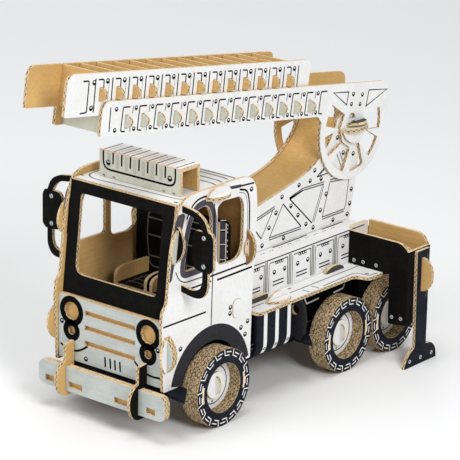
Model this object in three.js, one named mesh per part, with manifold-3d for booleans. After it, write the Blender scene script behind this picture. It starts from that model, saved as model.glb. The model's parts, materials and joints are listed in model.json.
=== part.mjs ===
// Card fire engine with a raised two-stage ladder: six wheels, an open cab, lockers and outriggers.
// Millimetres, +Z up, the cab faces -Y and the truck's left side is +X.
import * as THREE from 'three';
import Module from 'manifold-3d';
import { mergeVertices } from 'three/addons/utils/BufferGeometryUtils.js';

const wasm = await Module();
wasm.setup();

// ---- driving dimensions ----
const BOARD = 2.0;            // thickness of every corrugated board
const GAP = 0.3;              // clearance wherever two boards meet

const WHEEL_R = 22.0;
const WHEEL_W = 11.0;
const WHEEL_OUT = 48.6;       // outer face of a tyre from the centre line
const TYRE_HOLE_R = 13.8;
const RIM_OUT = 41.3;         // outer face of the rim disc
const HUB_R = 7.5;
const AXLE_R = 1.6;
const AXLE_Y = [0, 110.5, 155.9];

const SIDE_OUT = 39.0;        // outer face of the cab sides
const CAB_IN = 36.7;          // half width of the boards that stand between the cab sides
const ARCH_R = 25.1;
const ROOF_TOP = 128.5;
const GRILLE_FRONT = -38.1;
const GRILLE_TOP = 65.7;
const SCREEN_TILT = 0.1105;   // windscreen lean, radians
const SCREEN_LEN = 62.4;
const EAR_R = 9.9;            // half height of the ears that lock a board through a side panel
const EAR_REACH = 5.2;        // and how far they stand out
const CAB_REAR = 28.9;        // front face of the cab's rear wall
const ARCH_Z = 22.1;
const SCREEN_FOOT = [-35.1, 66.2];   // front lower edge of the windscreen board
const SCREEN_EAR = 41.9;      // ear centres, up the windscreen and above the ground
const GRILLE_EAR_Z = 48.4;
const WALL_EAR_Z = 92.3;
const ROOF_EAR_Y = 3.8;
const CHASSIS_Z = 25.0;

const COVER_HALF = 27.4;      // half width of the locker body
const DECK_TOP = 74.0;
const COVER_Y = [31.6, 152.5];
const STEP_TOP = 54.0;        // running board
const STEP_OUT = 43.6;

const TOWER_OUT = 14.5;       // outer face of the tower plates
const PIVOT_Y = 151.5;
const PIVOT_Z = 130.3;
const LADDER_ANGLE = 8.3 * Math.PI / 180;   // nose-up angle as built
const LOWER_OUT = 16.8;
const UPPER_OUT = 14.5;
const LOWER_TIP = 219.5;                    // along the ladder from the pivot
const LOWER_H = [7.75, 25.75];              // above the pivot, square to the ladder
const UPPER_S = [44.5, 245.5];
const UPPER_H = [18.3, 40.4];
const DISC_R = 31.0;
const RUNG_PITCH = 13.0;
const RUNG_HALF = 0.9;        // half thickness of a rung
const LOWER_RUNG_S = 200.4;   // the second rung of the lower ladder, the first with ears
const UPPER_RUNG_S = 219.7;   // the first rung of the upper ladder
const LOWER_EAR_H = 14.6;     // middle of the rungs' ears
const UPPER_EAR_H = 29.4;
const RUNG_EAR = [4.1, 3.3];  // how far a rung's ear stands out, and its half height
const RUNG_COUNT = 13;

const BOX_FRONT = 136.8;      // outrigger box
const BOX_BACK = 157.5;
const BOX_OUT = 70.0;
const CROSS_Y = 147.0;        // board that ties the two outriggers together
const CROSS_EAR_Z = 54.6;
const BRACKET_X = 26.3;       // middle plane of the bumper brackets

// ---- board colours ----
const SLOTS = {
  white_print: { color: 0xf0eeec, roughness: 0.62, metalness: 0 },
  silver_print: { color: 0xbec8c8, roughness: 0.5, metalness: 0 },
  black_print: { color: 0x222226, roughness: 0.6, metalness: 0 },
  kraft: { color: 0xc9985c, roughness: 0.85, metalness: 0 },
  dowel: { color: 0xcaa878, roughness: 0.7, metalness: 0 },
};

// ---- assemblies: the truck, three wheel sets, and the ladder's two stages on the pivot ----
const group = new THREE.Group();
const truck = new THREE.Group();
const lowerLadder = new THREE.Group();
const upperLadder = new THREE.Group();
group.add(truck, lowerLadder);
lowerLadder.add(upperLadder);
lowerLadder.position.set(0, PIVOT_Y, PIVOT_Z);
lowerLadder.rotation.x = -LADDER_ANGLE;

// ---- solids ----
function toManifold(geometry) {
  const g = geometry.clone();
  g.deleteAttribute('normal');
  g.deleteAttribute('uv');
  const m = mergeVertices(g, 1e-4);
  const all = Array.from(m.index.array);
  const faces = [];
  for (let i = 0; i < all.length; i += 3) {
    const [a, b, c] = [all[i], all[i + 1], all[i + 2]];
    if (a !== b && b !== c && c !== a) faces.push(a, b, c);
  }
  return new wasm.Manifold(new wasm.Mesh({
    numProp: 3,
    vertProperties: Float32Array.from(m.attributes.position.array),
    triVerts: Uint32Array.from(faces),
  }));
}

function fromManifold(solid) {
  const mesh = solid.getMesh();
  const g = new THREE.BufferGeometry();
  g.setAttribute('position', new THREE.BufferAttribute(Float32Array.from(mesh.vertProperties), 3));
  g.setIndex(Array.from(mesh.triVerts));
  g.computeVertexNormals();
  return g;
}

function union(...parts) {
  return fromManifold(parts.map(toManifold).reduce((a, b) => a.add(b)));
}

function cut(body, ...tools) {
  return fromManifold(tools.map(toManifold).reduce((a, b) => a.subtract(b), toManifold(body)));
}

function addPart(name, geometry, slot, parent = truck) {
  const mesh = new THREE.Mesh(geometry, new THREE.MeshStandardMaterial(SLOTS[slot]));
  mesh.name = name;
  parent.add(mesh);
  return mesh;
}

function box(x0, x1, y0, y1, z0, z1) {
  const g = new THREE.BoxGeometry(x1 - x0, y1 - y0, z1 - z0);
  return g.translate((x0 + x1) / 2, (y0 + y1) / 2, (z0 + z1) / 2);
}

// ---- outlines ----
// A closed outline from corner points [a, b, r]; a corner with r > 0 is rounded.
function outline(points) {
  const shape = new THREE.Shape();
  const n = points.length;
  for (let i = 0; i < n; i += 1) {
    const [px, py, r = 0] = points[i];
    const [ax, ay] = points[(i + n - 1) % n];
    const [bx, by] = points[(i + 1) % n];
    const here = new THREE.Vector2(px, py);
    const inn = new THREE.Vector2(ax - px, ay - py);
    const out = new THREE.Vector2(bx - px, by - py);
    const reach = Math.min(r, inn.length() * 0.49, out.length() * 0.49);
    const a = here.clone().add(inn.setLength(reach));
    const b = here.clone().add(out.setLength(reach));
    if (reach > 0) {
      if (i === 0) shape.moveTo(a.x, a.y);
      else shape.lineTo(a.x, a.y);
      shape.quadraticCurveTo(px, py, b.x, b.y);
    } else if (i === 0) {
      shape.moveTo(px, py);
    } else {
      shape.lineTo(px, py);
    }
  }
  return shape;
}

function rectangle(a0, a1, b0, b1, r = 0) {
  return outline([[a0, b0, r], [a1, b0, r], [a1, b1, r], [a0, b1, r]]);
}

function disc(a, b, r, count = 16) {
  const points = [];
  for (let i = 0; i < count; i += 1) {
    const t = 2 * Math.PI * i / count;
    points.push(new THREE.Vector2(a + r * Math.cos(t), b + r * Math.sin(t)));
  }
  return new THREE.Shape(points);
}

function pierce(shape, holes) {
  for (const hole of holes) shape.holes.push(new THREE.Path(hole.getPoints(4)));
  return shape;
}

// A flat board cut from a shape, lying in the XY plane and rising by its thickness.
function board(shape, thickness = BOARD) {
  const segments = 5;
  const prism = (outer, lift) => new THREE.ExtrudeGeometry(outer, {
    depth: thickness + 2 * lift,
    bevelEnabled: false,
    curveSegments: segments,
  }).translate(0, 0, -lift);
  const rim = new THREE.Shape(shape.getPoints(segments));
  const holes = shape.holes.map((hole) => prism(new THREE.Shape(hole.getPoints(segments)), 1));
  return holes.length > 0 ? cut(prism(rim, 0), ...holes) : prism(rim, 0);
}

// How a board stands: drawn (y, z) and running +X from start, (x, z) and running +Y from start,
// or (x, y) and running +Z from start.
function stand(plane, start, thickness) {
  const m = new THREE.Matrix4();
  if (plane === 'yz') m.set(0, 0, 1, start, 1, 0, 0, 0, 0, 1, 0, 0, 0, 0, 0, 1);
  if (plane === 'xz') m.set(1, 0, 0, 0, 0, 0, -1, start + thickness, 0, 1, 0, 0, 0, 0, 0, 1);
  if (plane === 'xy') m.set(1, 0, 0, 0, 0, 1, 0, 0, 0, 0, 1, start, 0, 0, 0, 1);
  return m;
}

// a standing board as bare geometry, for joining to others
function sheet(shape, plane, start, thickness = BOARD) {
  return board(shape, thickness).applyMatrix4(stand(plane, start, thickness));
}

// a standing board as a part of its own
function addSheet(name, shape, plane, start, slot, parent = truck, thickness = BOARD) {
  const mesh = addPart(name, board(shape, thickness), slot, parent);
  stand(plane, start, thickness).decompose(mesh.position, mesh.quaternion, mesh.scale);
  return mesh;
}

// Points of a board's outline with a round ear on each side: half width, ear centre and radius.
function earPoints(side, ends, centre, radius, reach) {
  const points = [];
  const steps = 10;
  for (let i = 0; i <= steps; i += 1) {
    const t = -Math.PI / 2 + Math.PI * i / steps;
    points.push([side * (ends + reach * Math.cos(t)), centre + radius * Math.sin(t)]);
  }
  return side > 0 ? points : points.reverse();
}

// The same for a shallow ear: one arc of a circle, of the given half chord and rise.
function shallowEar(side, ends, centre, half, rise) {
  const points = [];
  const steps = 10;
  const radius = (half * half + rise * rise) / (2 * rise);
  const sweep = Math.asin(half / radius);
  for (let i = 0; i <= steps; i += 1) {
    const t = sweep * (2 * i / steps - 1);
    points.push([side * (ends + rise - radius * (1 - Math.cos(t))), centre + radius * Math.sin(t)]);
  }
  return side > 0 ? points : points.reverse();
}

// ---- wheels and axles ----
function wheel() {
  const inner = WHEEL_OUT - WHEEL_W;
  const profile = [
    [AXLE_R + 0.3, RIM_OUT - BOARD], [TYRE_HOLE_R + 0.5, RIM_OUT - BOARD],
    [TYRE_HOLE_R + 0.5, inner], [WHEEL_R, inner], [WHEEL_R, WHEEL_OUT],
    [TYRE_HOLE_R, WHEEL_OUT], [TYRE_HOLE_R, RIM_OUT], [HUB_R, RIM_OUT],
    [HUB_R, RIM_OUT + BOARD], [0, RIM_OUT + BOARD], [0, RIM_OUT - 0.6],
    [AXLE_R + 0.3, RIM_OUT - 0.6],
  ].map(([r, h]) => new THREE.Vector2(r, h));
  profile.push(profile[0].clone());
  const turned = new THREE.LatheGeometry(profile, 24);
  // the hub's lock: a short upright tongue across the hub disc
  return union(turned, box(-3.6, 3.6, RIM_OUT + 1, RIM_OUT + BOARD + 3, -1, 1));
}

AXLE_Y.forEach((y, i) => {
  const set = new THREE.Group();
  set.position.set(0, y, WHEEL_R);
  group.add(set);
  addPart(`wheel_${i + 1}_left`, wheel(), 'black_print', set).rotation.z = -Math.PI / 2;
  addPart(`wheel_${i + 1}_right`, wheel(), 'black_print', set).rotation.z = Math.PI / 2;
  const rod = new THREE.CylinderGeometry(AXLE_R, AXLE_R, 2 * (RIM_OUT - 0.6 - GAP), 16);
  addPart(`axle_${i + 1}`, rod, 'dowel', set).rotation.z = Math.PI / 2;
});

// ---- chassis ----
{
  // the tongue beside the front wheel is on the left side only
  const tongue = [
    [24.6, -38.0], [28.0, -38.0], [28.0, -40.4], [33, -40.4, 2], [33, -35.2], [53.5, -38.2, 1],
    [43, -23.8, 1], [35, -23.8],
  ];
  const half = (front) => [
    [24.6, -40.4], ...front, [35, 26], [27, 26], [27, 76.5], [50, 75.6, 1], [40.5, 85, 1],
    [35, 85], [35, 172, 6],
  ];
  const right = half([[24.6, -37], [35, -37]]).map(([x, y, r]) => [-x, y, r]).reverse();
  addSheet('chassis_plate', outline([...half(tongue), ...right]), 'xy', CHASSIS_Z, 'black_print');
  for (const side of [1, -1]) {
    const top = CHASSIS_Z - GAP;
    const [low, lug, web] = [16.5, 7, 21];
    const rail = outline([
      [-12, web], [-lug, low, 2], [lug, low, 2], [12, web], [AXLE_Y[1] - 12, web],
      [AXLE_Y[1] - lug, low, 2], [AXLE_Y[2] + lug, low, 2], [168, web], [168, top], [-12, top],
    ]);
    const bores = AXLE_Y.map((y) => disc(y, WHEEL_R, AXLE_R + 0.25, 14));
    const name = side > 0 ? 'chassis_rail_left' : 'chassis_rail_right';
    addSheet(name, pierce(rail, bores), 'yz', side > 0 ? 28 : -30, 'black_print');
  }
}

// ---- cab ----
// a point of the windscreen board: b runs up its face, d into its thickness
function screenPoint(b, d) {
  const s = Math.sin(SCREEN_TILT);
  const c = Math.cos(SCREEN_TILT);
  return [SCREEN_FOOT[0] + b * s + d * c, SCREEN_FOOT[1] + b * c - d * s];
}

function cabSide() {
  const points = [
    [-38.6, 27.6, 1], [-40.3, 63.7, 1], [-39.6, 72.5, 2], [-36.5, 76.1, 1], [-35.8, 79.2, 2],
    [-33.4, 103.4, 4], [-30.1, 117.5, 5], [-27.8, 125.1, 4], [-25.5, 129.4, 3], [-19.2, 132.2, 5],
    [-11, 132.7, 4], [24.5, 132.8, 6], [30.4, 131.7, 3], [33.9, 129.3, 3], [36.6, 124.2, 3],
    [37.5, 112, 4], [35.9, 82.3, 4], [34.5, 60.7], [33.9, 27.6, 1],
  ];
  const low = Math.asin((27.6 - ARCH_Z) / ARCH_R);
  for (let i = 0; i <= 18; i += 1) {
    const t = low + (Math.PI - 2 * low) * i / 18;
    points.push([ARCH_R * Math.cos(t), ARCH_Z + ARCH_R * Math.sin(t)]);
  }
  const quarter = outline([
    [-23.1, 91.2, 2], [-0.3, 91, 1], [-0.5, 117.6, 4], [-4.4, 124.2, 4], [-12.5, 123.8, 6],
    [-17.2, 117.7, 6], [-20.6, 106.9, 6],
  ]);
  const door = outline([
    [3.9, 90.3, 1.5], [6.5, 87.9, 1], [19.1, 87.3, 5], [24.3, 90.1, 3], [26, 97.1, 4],
    [26, 117.9, 5], [23, 122.9, 3], [8, 123.4, 3], [3.7, 121.1, 2],
  ]);
  const screen = outline([
    screenPoint(SCREEN_EAR - EAR_R - GAP, -GAP), screenPoint(SCREEN_EAR - EAR_R - GAP, BOARD + GAP),
    screenPoint(SCREEN_EAR + EAR_R + GAP, BOARD + GAP), screenPoint(SCREEN_EAR + EAR_R + GAP, -GAP),
  ]);
  const grille = slot(GRILLE_FRONT, GRILLE_EAR_Z, 2 * BOARD + GAP);
  const wall = slot(CAB_REAR, WALL_EAR_Z);
  const roof = rectangle(ROOF_EAR_Y - EAR_R - GAP, ROOF_EAR_Y + EAR_R + GAP,
    ROOF_TOP - BOARD - GAP, ROOF_TOP + GAP);
  return pierce(outline(points), [quarter, door, screen, grille, wall, roof]);
}

// the upright slot a board's ear passes through
function slot(front, z, thickness = BOARD) {
  return rectangle(front - GAP, front + thickness + GAP, z - EAR_R - GAP, z + EAR_R + GAP);
}

addSheet('cab_side_left', cabSide(), 'yz', SIDE_OUT - BOARD, 'white_print');
addSheet('cab_side_right', cabSide(), 'yz', -SIDE_OUT, 'white_print');

// a board between the cab sides: half width, its two ends, and one ear on each side
function earedBoard(lo, hi, ear) {
  const base = SIDE_OUT + GAP;
  const right = [[CAB_IN, ear - EAR_R], ...shallowEar(1, base, ear, EAR_R, EAR_REACH),
    [CAB_IN, ear + EAR_R]];
  const left = [[-CAB_IN, ear + EAR_R], ...shallowEar(-1, base, ear, EAR_R, EAR_REACH),
    [-CAB_IN, ear - EAR_R]];
  return outline([[-CAB_IN, lo], [CAB_IN, lo], ...right, [CAB_IN, hi], [-CAB_IN, hi], ...left]);
}

addSheet('cab_roof', earedBoard(-25.9, 33.4, ROOF_EAR_Y), 'xy', ROOF_TOP - BOARD, 'white_print');

{
  const opening = outline([[-29, 11.4, 6], [29, 11.4, 3], [29, 56, 2], [-29, 56, 2]]);
  const frame = pierce(earedBoard(0, SCREEN_LEN, SCREEN_EAR), [opening]);
  const leaning = new THREE.Group();
  leaning.position.set(0, SCREEN_FOOT[0], SCREEN_FOOT[1]);
  leaning.rotation.x = -SCREEN_TILT;
  truck.add(leaning);
  addSheet('windscreen_frame', frame, 'xz', 0, 'black_print', leaning);
}

{
  const face = earedBoard(29.5, GRILLE_TOP, GRILLE_EAR_Z);
  const lamps = [-27.5, 27.5].flatMap((x) => [disc(x, 57.5, 5.5, 20), disc(x, 46.4, 2.9, 14)]);
  const slots = [58.7, 50.3, 41.5].map((z) => rectangle(-18, 18.4, z - 1.4, z + 1.4));
  addSheet('grille_panel', pierce(face, [...lamps, ...slots]), 'xz', GRILLE_FRONT, 'silver_print');
  const back = earedBoard(29.5, GRILLE_TOP, GRILLE_EAR_Z);
  addSheet('grille_backing', back, 'xz', GRILLE_FRONT + BOARD + GAP, 'kraft');
}

addSheet('cab_rear_wall', earedBoard(CHASSIS_Z + BOARD + GAP, ROOF_TOP - BOARD - GAP,
  WALL_EAR_Z), 'xz', CAB_REAR, 'kraft');

{
  // warning-light box: one board folded over the roof, open at both ends
  const half = 28.6;
  const foot = ROOF_TOP + GAP;
  addPart('roof_light_box', union(
    box(-half, half, -14.9, -14.9 + BOARD, foot, 143.8),
    box(-half, half, -14.9, 1.1, 143.8 - BOARD, 143.8),
    box(-half, half, 1.1 - BOARD, 1.1, foot, 143.8),
  ), 'silver_print');
}

{
  const foot = CHASSIS_Z + BOARD + GAP;
  addSheet('seat_back', rectangle(-33, 33, foot, 107, 4), 'xz', 20.5, 'black_print');
  const pan = 67;
  const armFrom = (low) => outline([[-7, low], [20, low], [20, 75], [-1, 75.4, 4], [-7, 73.5, 5]]);
  addPart('seat_base', union(
    sheet(armFrom(foot), 'yz', 23),
    sheet(armFrom(pan - 1), 'yz', 1),
    sheet(armFrom(pan - 1), 'yz', -3),
    sheet(armFrom(foot), 'yz', -25),
    box(-24, 24, -7, 20, pan - BOARD, pan),
  ), 'black_print');
}

// ---- mirrors ----
for (const side of [1, -1]) {
  const root = SIDE_OUT + GAP;
  const points = [
    [root, 128.6], [48, 127.4, 3], [54.5, 124, 4], [57.2, 117.3], [59, 117.3, 2], [60.8, 114.4, 2],
    [60.8, 97.6, 1], [58.4, 95.3, 2], [57.2, 95.3], [57.2, 86, 4], [54, 80.6, 4], [48, 79.6, 3],
    [root, 81.2], [root, 84.8], [47, 83.4, 2], [52, 85.3, 3], [53.5, 89, 2], [53.5, 95.3],
    [48.4, 95.9, 2], [46.3, 99, 1], [46.3, 114.5, 1], [48.4, 117.3, 2], [53.3, 117.3],
    [51, 121.6, 3], [47, 124, 2], [root, 125],
  ].map(([x, z, r]) => [side * x, z, r]);
  const name = side > 0 ? 'mirror_left' : 'mirror_right';
  addSheet(name, outline(points), 'xz', -25.5, 'black_print');
}

// ---- bumper ----
{
  const bar = () => outline([[-45.5, 13.9, 5], [45.5, 13.9, 5], [45.5, 28.1, 5], [-45.5, 28.1, 5]]);
  const holes = [[-40.5, -34.2], [-23.6, -13.4], [9.8, 19.8], [32.6, 38.9]]
    .map(([a, b]) => rectangle(a, b, 16.4, 19.8));
  addSheet('bumper_front_layer', pierce(bar(), holes), 'xz', -45, 'silver_print');
  addSheet('bumper_back_layer', bar(), 'xz', -42.8, 'kraft');
  for (const side of [1, -1]) {
    const clip = outline([
      [-38.5, 41.3], [-44.9, 40.6], [-45, 31, 1], [-48.4, 29.6, 2], [-51.6, 25, 3], [-52.2, 20, 5],
      [-50.4, 14, 3], [-46, 10.8, 3], [-38.5, 11.2, 2],
    ]);
    const hold = rectangle(-45.3, -40.5, 13.6, 28.4);
    const name = side > 0 ? 'bumper_bracket_left' : 'bumper_bracket_right';
    addSheet(name, pierce(clip, [hold]), 'yz', side * BRACKET_X - BOARD / 2, 'black_print');
  }
}

// ---- locker body, running boards and tank ----
{
  const deck = outline([[-COVER_HALF, COVER_Y[0]], [COVER_HALF, COVER_Y[0]],
    [COVER_HALF, COVER_Y[1], 6], [-COVER_HALF, COVER_Y[1], 6]]);
  const foot = CHASSIS_Z + BOARD + GAP;
  const wall = () => pierce(outline([
    [COVER_Y[0], foot], [COVER_Y[1], foot], [COVER_Y[1], DECK_TOP - 7],
    [155.2, DECK_TOP - 6], [155.2, DECK_TOP + 1.6, 1], [141, DECK_TOP + 1.6, 3],
    [139, DECK_TOP], [COVER_Y[0], DECK_TOP],
  ]), [rectangle(CROSS_Y - GAP, CROSS_Y + BOARD + GAP, 57.7, 68.3)]);
  addPart('body_cover', union(
    sheet(deck, 'xy', DECK_TOP - BOARD),
    sheet(wall(), 'yz', COVER_HALF - BOARD),
    sheet(wall(), 'yz', -COVER_HALF),
  ), 'white_print');

  const inner = COVER_HALF + GAP;
  for (const side of [1, -1]) {
    const tag = side > 0 ? 'left' : 'right';
    const step = outline([
      [inner, 35.2], [42, 35.2, 3], [STEP_OUT, 37.5], [STEP_OUT, 121, 2], [47, 122.5, 2],
      [52.6, 124, 3], [52.6, 136.4], [inner, 136.4],
    ].map(([x, y, r]) => [side * x, y, r]));
    addSheet(`running_board_${tag}`, step, 'xy', STEP_TOP - BOARD, 'white_print');

    const skin = [[38, 51.7], [40, 51.7]];
    const turns = 6;
    for (let i = 0; i <= turns; i += 1) {
      const t = -0.9 * i / turns;
      skin.push([29.5 + 10.5 * Math.cos(t), 33 + 10.5 * Math.sin(t)]);
    }
    for (let i = turns; i >= 0; i -= 1) {
      const t = -0.9 * i / turns;
      skin.push([29.5 + 8.5 * Math.cos(t), 33 + 8.5 * Math.sin(t)]);
    }
    const profile = outline(skin.map(([x, z]) => [side * x, z]));
    addSheet(`tank_shell_${tag}`, profile, 'xz', 38, 'black_print', truck, 31.5);
    const end = outline([
      [33.5, 27.3], [41.5, 27.3, 2], [44.6, 31, 4], [45.8, 39, 6], [44.6, 47, 4], [41.5, 51.7, 3],
      [33.5, 51.7],
    ].map(([x, z]) => [side * x, z]));
    addSheet(`tank_end_${tag}`, pierce(end, [disc(side * 38.2, 44.4, 2.9, 14)]), 'xz', 74, 'black_print');
  }
}

// ---- ladder tower ----
{
  const slope = [
    [42, 95], [55, 97.7], [68, 100.6], [80, 103.2], [92.5, 105.7], [106, 108.7], [115, 111.6],
    [123, 116], [129, 120.6], [133.5, 125.3], [137, 130.5], [139.6, 137],
  ];
  const head = [];
  for (let i = 0; i <= 10; i += 1) {
    const t = (144 - 174 * i / 10) * Math.PI / 180;
    head.push([PIVOT_Y + 12 * Math.cos(t), PIVOT_Z + 12 * Math.sin(t)]);
  }
  const foot = DECK_TOP + GAP;
  const plate = () => pierce(
    outline([[42, foot], ...slope, ...head, [161, 112], [159.2, 99], [154.2, foot]]),
    [rectangle(PIVOT_Y - 3.2 - GAP, PIVOT_Y + 3.2 + GAP, PIVOT_Z - 1 - GAP, PIVOT_Z + 1 + GAP)],
  );
  addSheet('tower_side_left', plate(), 'yz', TOWER_OUT - BOARD, 'white_print');
  addSheet('tower_side_right', plate(), 'yz', -TOWER_OUT, 'white_print');

  const curve = new THREE.CatmullRomCurve3(slope.map(([y, z]) => new THREE.Vector3(0, y, z)));
  const upper = [];
  const lower = [];
  for (let i = 0; i <= 22; i += 1) {
    const p = curve.getPointAt(i / 22);
    const t = curve.getTangentAt(i / 22);
    upper.push([p.y + 0.6 * t.z, p.z - 0.6 * t.y]);
    lower.push([p.y + 2.6 * t.z, p.z - 2.6 * t.y]);
  }
  const slide = outline([...upper, ...lower.reverse()]);
  const half = TOWER_OUT - BOARD - GAP;
  addSheet('tower_slide', slide, 'yz', -half, 'kraft', truck, 2 * half);

  const lock = outline([
    [-17.1, PIVOT_Y - 3.2], [17.1, PIVOT_Y - 3.2],
    ...earPoints(1, 17.1, PIVOT_Y, 11, 6.8), [17.1, PIVOT_Y + 3.2], [-17.1, PIVOT_Y + 3.2],
    ...earPoints(-1, 17.1, PIVOT_Y, 11, 6.8),
  ]);
  addSheet('ladder_pivot', lock, 'xy', PIVOT_Z - 1, 'kraft');
}

// ---- outriggers ----
for (const side of [1, -1]) {
  const tag = side > 0 ? 'left' : 'right';
  const inner = COVER_HALF + GAP;
  const flip = (points) => outline(points.map(([x, z, r]) => [side * x, z, r]));
  const front = flip([
    [inner, STEP_TOP + GAP], [56.8, STEP_TOP + GAP], [57.3, 24, 1], [BOX_OUT, 25.5],
    [BOX_OUT, 69.7, 3], [64.6, 73.8, 3], [inner, 73.8],
  ]);
  const back = flip([
    [inner, 55], [56.8, 55], [57.3, 24, 1], [BOX_OUT, 25.5], [BOX_OUT, 69.7, 4], [65.4, 75.9, 4],
    [inner, 75.9],
  ]);
  const pass = () => rectangle(CROSS_Y - GAP, CROSS_Y + BOARD + GAP, CROSS_EAR_Z - EAR_R - GAP,
    CROSS_EAR_Z + EAR_R + GAP);
  const outer = pierce(rectangle(BOX_FRONT, BOX_BACK, 25.5, 69.7), [pass()]);
  addPart(`outrigger_box_${tag}`, union(
    sheet(front, 'xz', BOX_FRONT),
    sheet(back, 'xz', BOX_BACK - BOARD),
    sheet(outer, 'yz', side > 0 ? BOX_OUT - BOARD : -BOX_OUT),
  ), 'black_print');

  const leg = pierce(outline([
    [133.6, 0], [164.8, 0], [164.2, 6, 3], [159.5, 10.6, 3], [154.2, 10.6, 1], [154.2, 69.2],
    [142.4, 69.2], [143.4, 11, 2], [138, 8.2, 4], [134.6, 3.4, 2],
  ]), [pass()]);
  const at = BOX_OUT + GAP;
  addSheet(`outrigger_leg_${tag}`, leg, 'yz', side > 0 ? at : -at - BOARD, 'black_print');
}
{
  const base = BOX_OUT + 2 * GAP + BOARD;
  const lo = CROSS_EAR_Z - EAR_R;
  const hi = CROSS_EAR_Z + EAR_R;
  const half = [
    [58, 58], [66, lo], ...earPoints(1, base, CROSS_EAR_Z, EAR_R, 7), [66, hi], [62, 68],
  ];
  const left = half.map(([x, z]) => [-x, z]).reverse();
  addSheet('outrigger_cross', outline([...half, ...left]), 'xz', CROSS_Y, 'kraft');
}

// ---- ladder ----
// Ladder coordinates: s forward along the ladder and h square to it, both from the pivot.
function ladderShape(shape, holes) {
  const bend = (s) => s.getPoints(5).map((p) => new THREE.Vector2(-p.x, p.y));
  const out = new THREE.Shape(bend(shape));
  for (const hole of holes) out.holes.push(new THREE.Path(bend(hole)));
  return out;
}

// the slot a rung's ear passes through
function rungSlot(s, h) {
  const half = RUNG_HALF + GAP;
  return rectangle(s - half, s + half, h - RUNG_EAR[1] - GAP, h + RUNG_EAR[1] + GAP);
}

// a spoke window of the turning disc, between two angles and two radii
function spokeWindow(a0, a1, r0 = 12, r1 = 26.3) {
  const points = [];
  const at = (r, deg) => [r * Math.cos(deg * Math.PI / 180), r * Math.sin(deg * Math.PI / 180)];
  points.push(at(r0, (a0 + a1) / 2 - 22), at(r0, (a0 + a1) / 2 + 22));
  for (let i = 0; i <= 4; i += 1) points.push(at(r1, a1 + (a0 - a1) * i / 4));
  return outline(points);
}

function lowerRail() {
  const points = [
    [LOWER_TIP, LOWER_H[0], 1], [LOWER_TIP, LOWER_H[1], 6], [-DISC_R, LOWER_H[1], 7],
  ];
  for (let i = 0; i <= 18; i += 1) {
    const t = Math.PI * (1 + 1.04 * i / 18);
    points.push([DISC_R * Math.cos(t), DISC_R * Math.sin(t)]);
  }
  points.push([34.5, LOWER_H[0], 2]);
  const holes = [];
  for (let k = 0; k < RUNG_COUNT; k += 1) holes.push(rungSlot(LOWER_RUNG_S - RUNG_PITCH * k, LOWER_EAR_H));
  for (const a of [18, -24, -66, -108, -150, -190]) holes.push(spokeWindow(a - 14, a + 14));
  holes.push(disc(0, 0, 3.9, 16));
  const peep = [];
  for (let i = 0; i <= 8; i += 1) {
    const t = Math.PI * i / 8;
    peep.push([2.2 + 3.2 * Math.cos(t), 5.2 + 3.2 * Math.sin(t)]);
  }
  holes.push(outline(peep));
  return ladderShape(outline(points), holes);
}

function upperRail() {
  const [s0, s1] = UPPER_S;
  const [h0, h1] = UPPER_H;
  const holes = [];
  for (let k = 0; k < RUNG_COUNT; k += 1) holes.push(rungSlot(UPPER_RUNG_S - RUNG_PITCH * k, UPPER_EAR_H));
  return ladderShape(outline([[s1, h0, 1], [s1, h1, 6], [s0, h1, 4], [s0, h0, 1]]), holes);
}

addSheet('lower_rail_left', lowerRail(), 'yz', LOWER_OUT - BOARD, 'white_print', lowerLadder);
addSheet('lower_rail_right', lowerRail(), 'yz', -LOWER_OUT, 'white_print', lowerLadder);
addSheet('upper_rail_left', upperRail(), 'yz', UPPER_OUT - BOARD, 'white_print', upperLadder);
addSheet('upper_rail_right', upperRail(), 'yz', -UPPER_OUT, 'white_print', upperLadder);

// a rung across a ladder, with an ear through each rail unless ear is null
function addRung(name, s, [h0, h1], rail, ear, slot, stage) {
  const inner = rail - BOARD - GAP;
  const [reach, half] = RUNG_EAR;
  const shape = ear === null ? rectangle(-inner, inner, h0, h1) : outline([
    [-inner, h0], [inner, h0], [inner, ear - half], ...earPoints(1, rail + GAP, ear, half, reach),
    [inner, ear + half], [inner, h1], [-inner, h1], [-inner, ear + half],
    ...earPoints(-1, rail + GAP, ear, half, reach), [-inner, ear - half],
  ]);
  addSheet(name, shape, 'xz', -s - RUNG_HALF, slot, stage, 2 * RUNG_HALF);
}

for (const k of [-1, 2, 5, 8, 11]) {
  const s = LOWER_RUNG_S - RUNG_PITCH * k;
  const ear = k < 0 ? null : LOWER_EAR_H;
  addRung(`lower_rung_${k + 2}`, s, [8.2, 17.9], LOWER_OUT, ear, 'silver_print', lowerLadder);
}
for (const k of [0, 2, 5, 7, 10, 12]) {
  const s = UPPER_RUNG_S - RUNG_PITCH * k;
  const span = [UPPER_H[0] + GAP, UPPER_H[1] - 0.2];
  addRung(`upper_rung_${k + 1}`, s, span, UPPER_OUT, UPPER_EAR_H, 'kraft', upperLadder);
}

// ---- row frame: the middle of the footprint, on the ground ----
const bounds = new THREE.Box3().setFromObject(group, true);
const shift = bounds.getCenter(new THREE.Vector3()).negate().setZ(-bounds.min.z);
group.position.copy(shift);

export default group;
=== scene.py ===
"""Card fire engine: board materials, printed artwork, wheels, rungs and lock flaps round the frame."""
import json
import math

import bmesh
import bpy
from mathutils import Matrix, Vector


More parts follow.
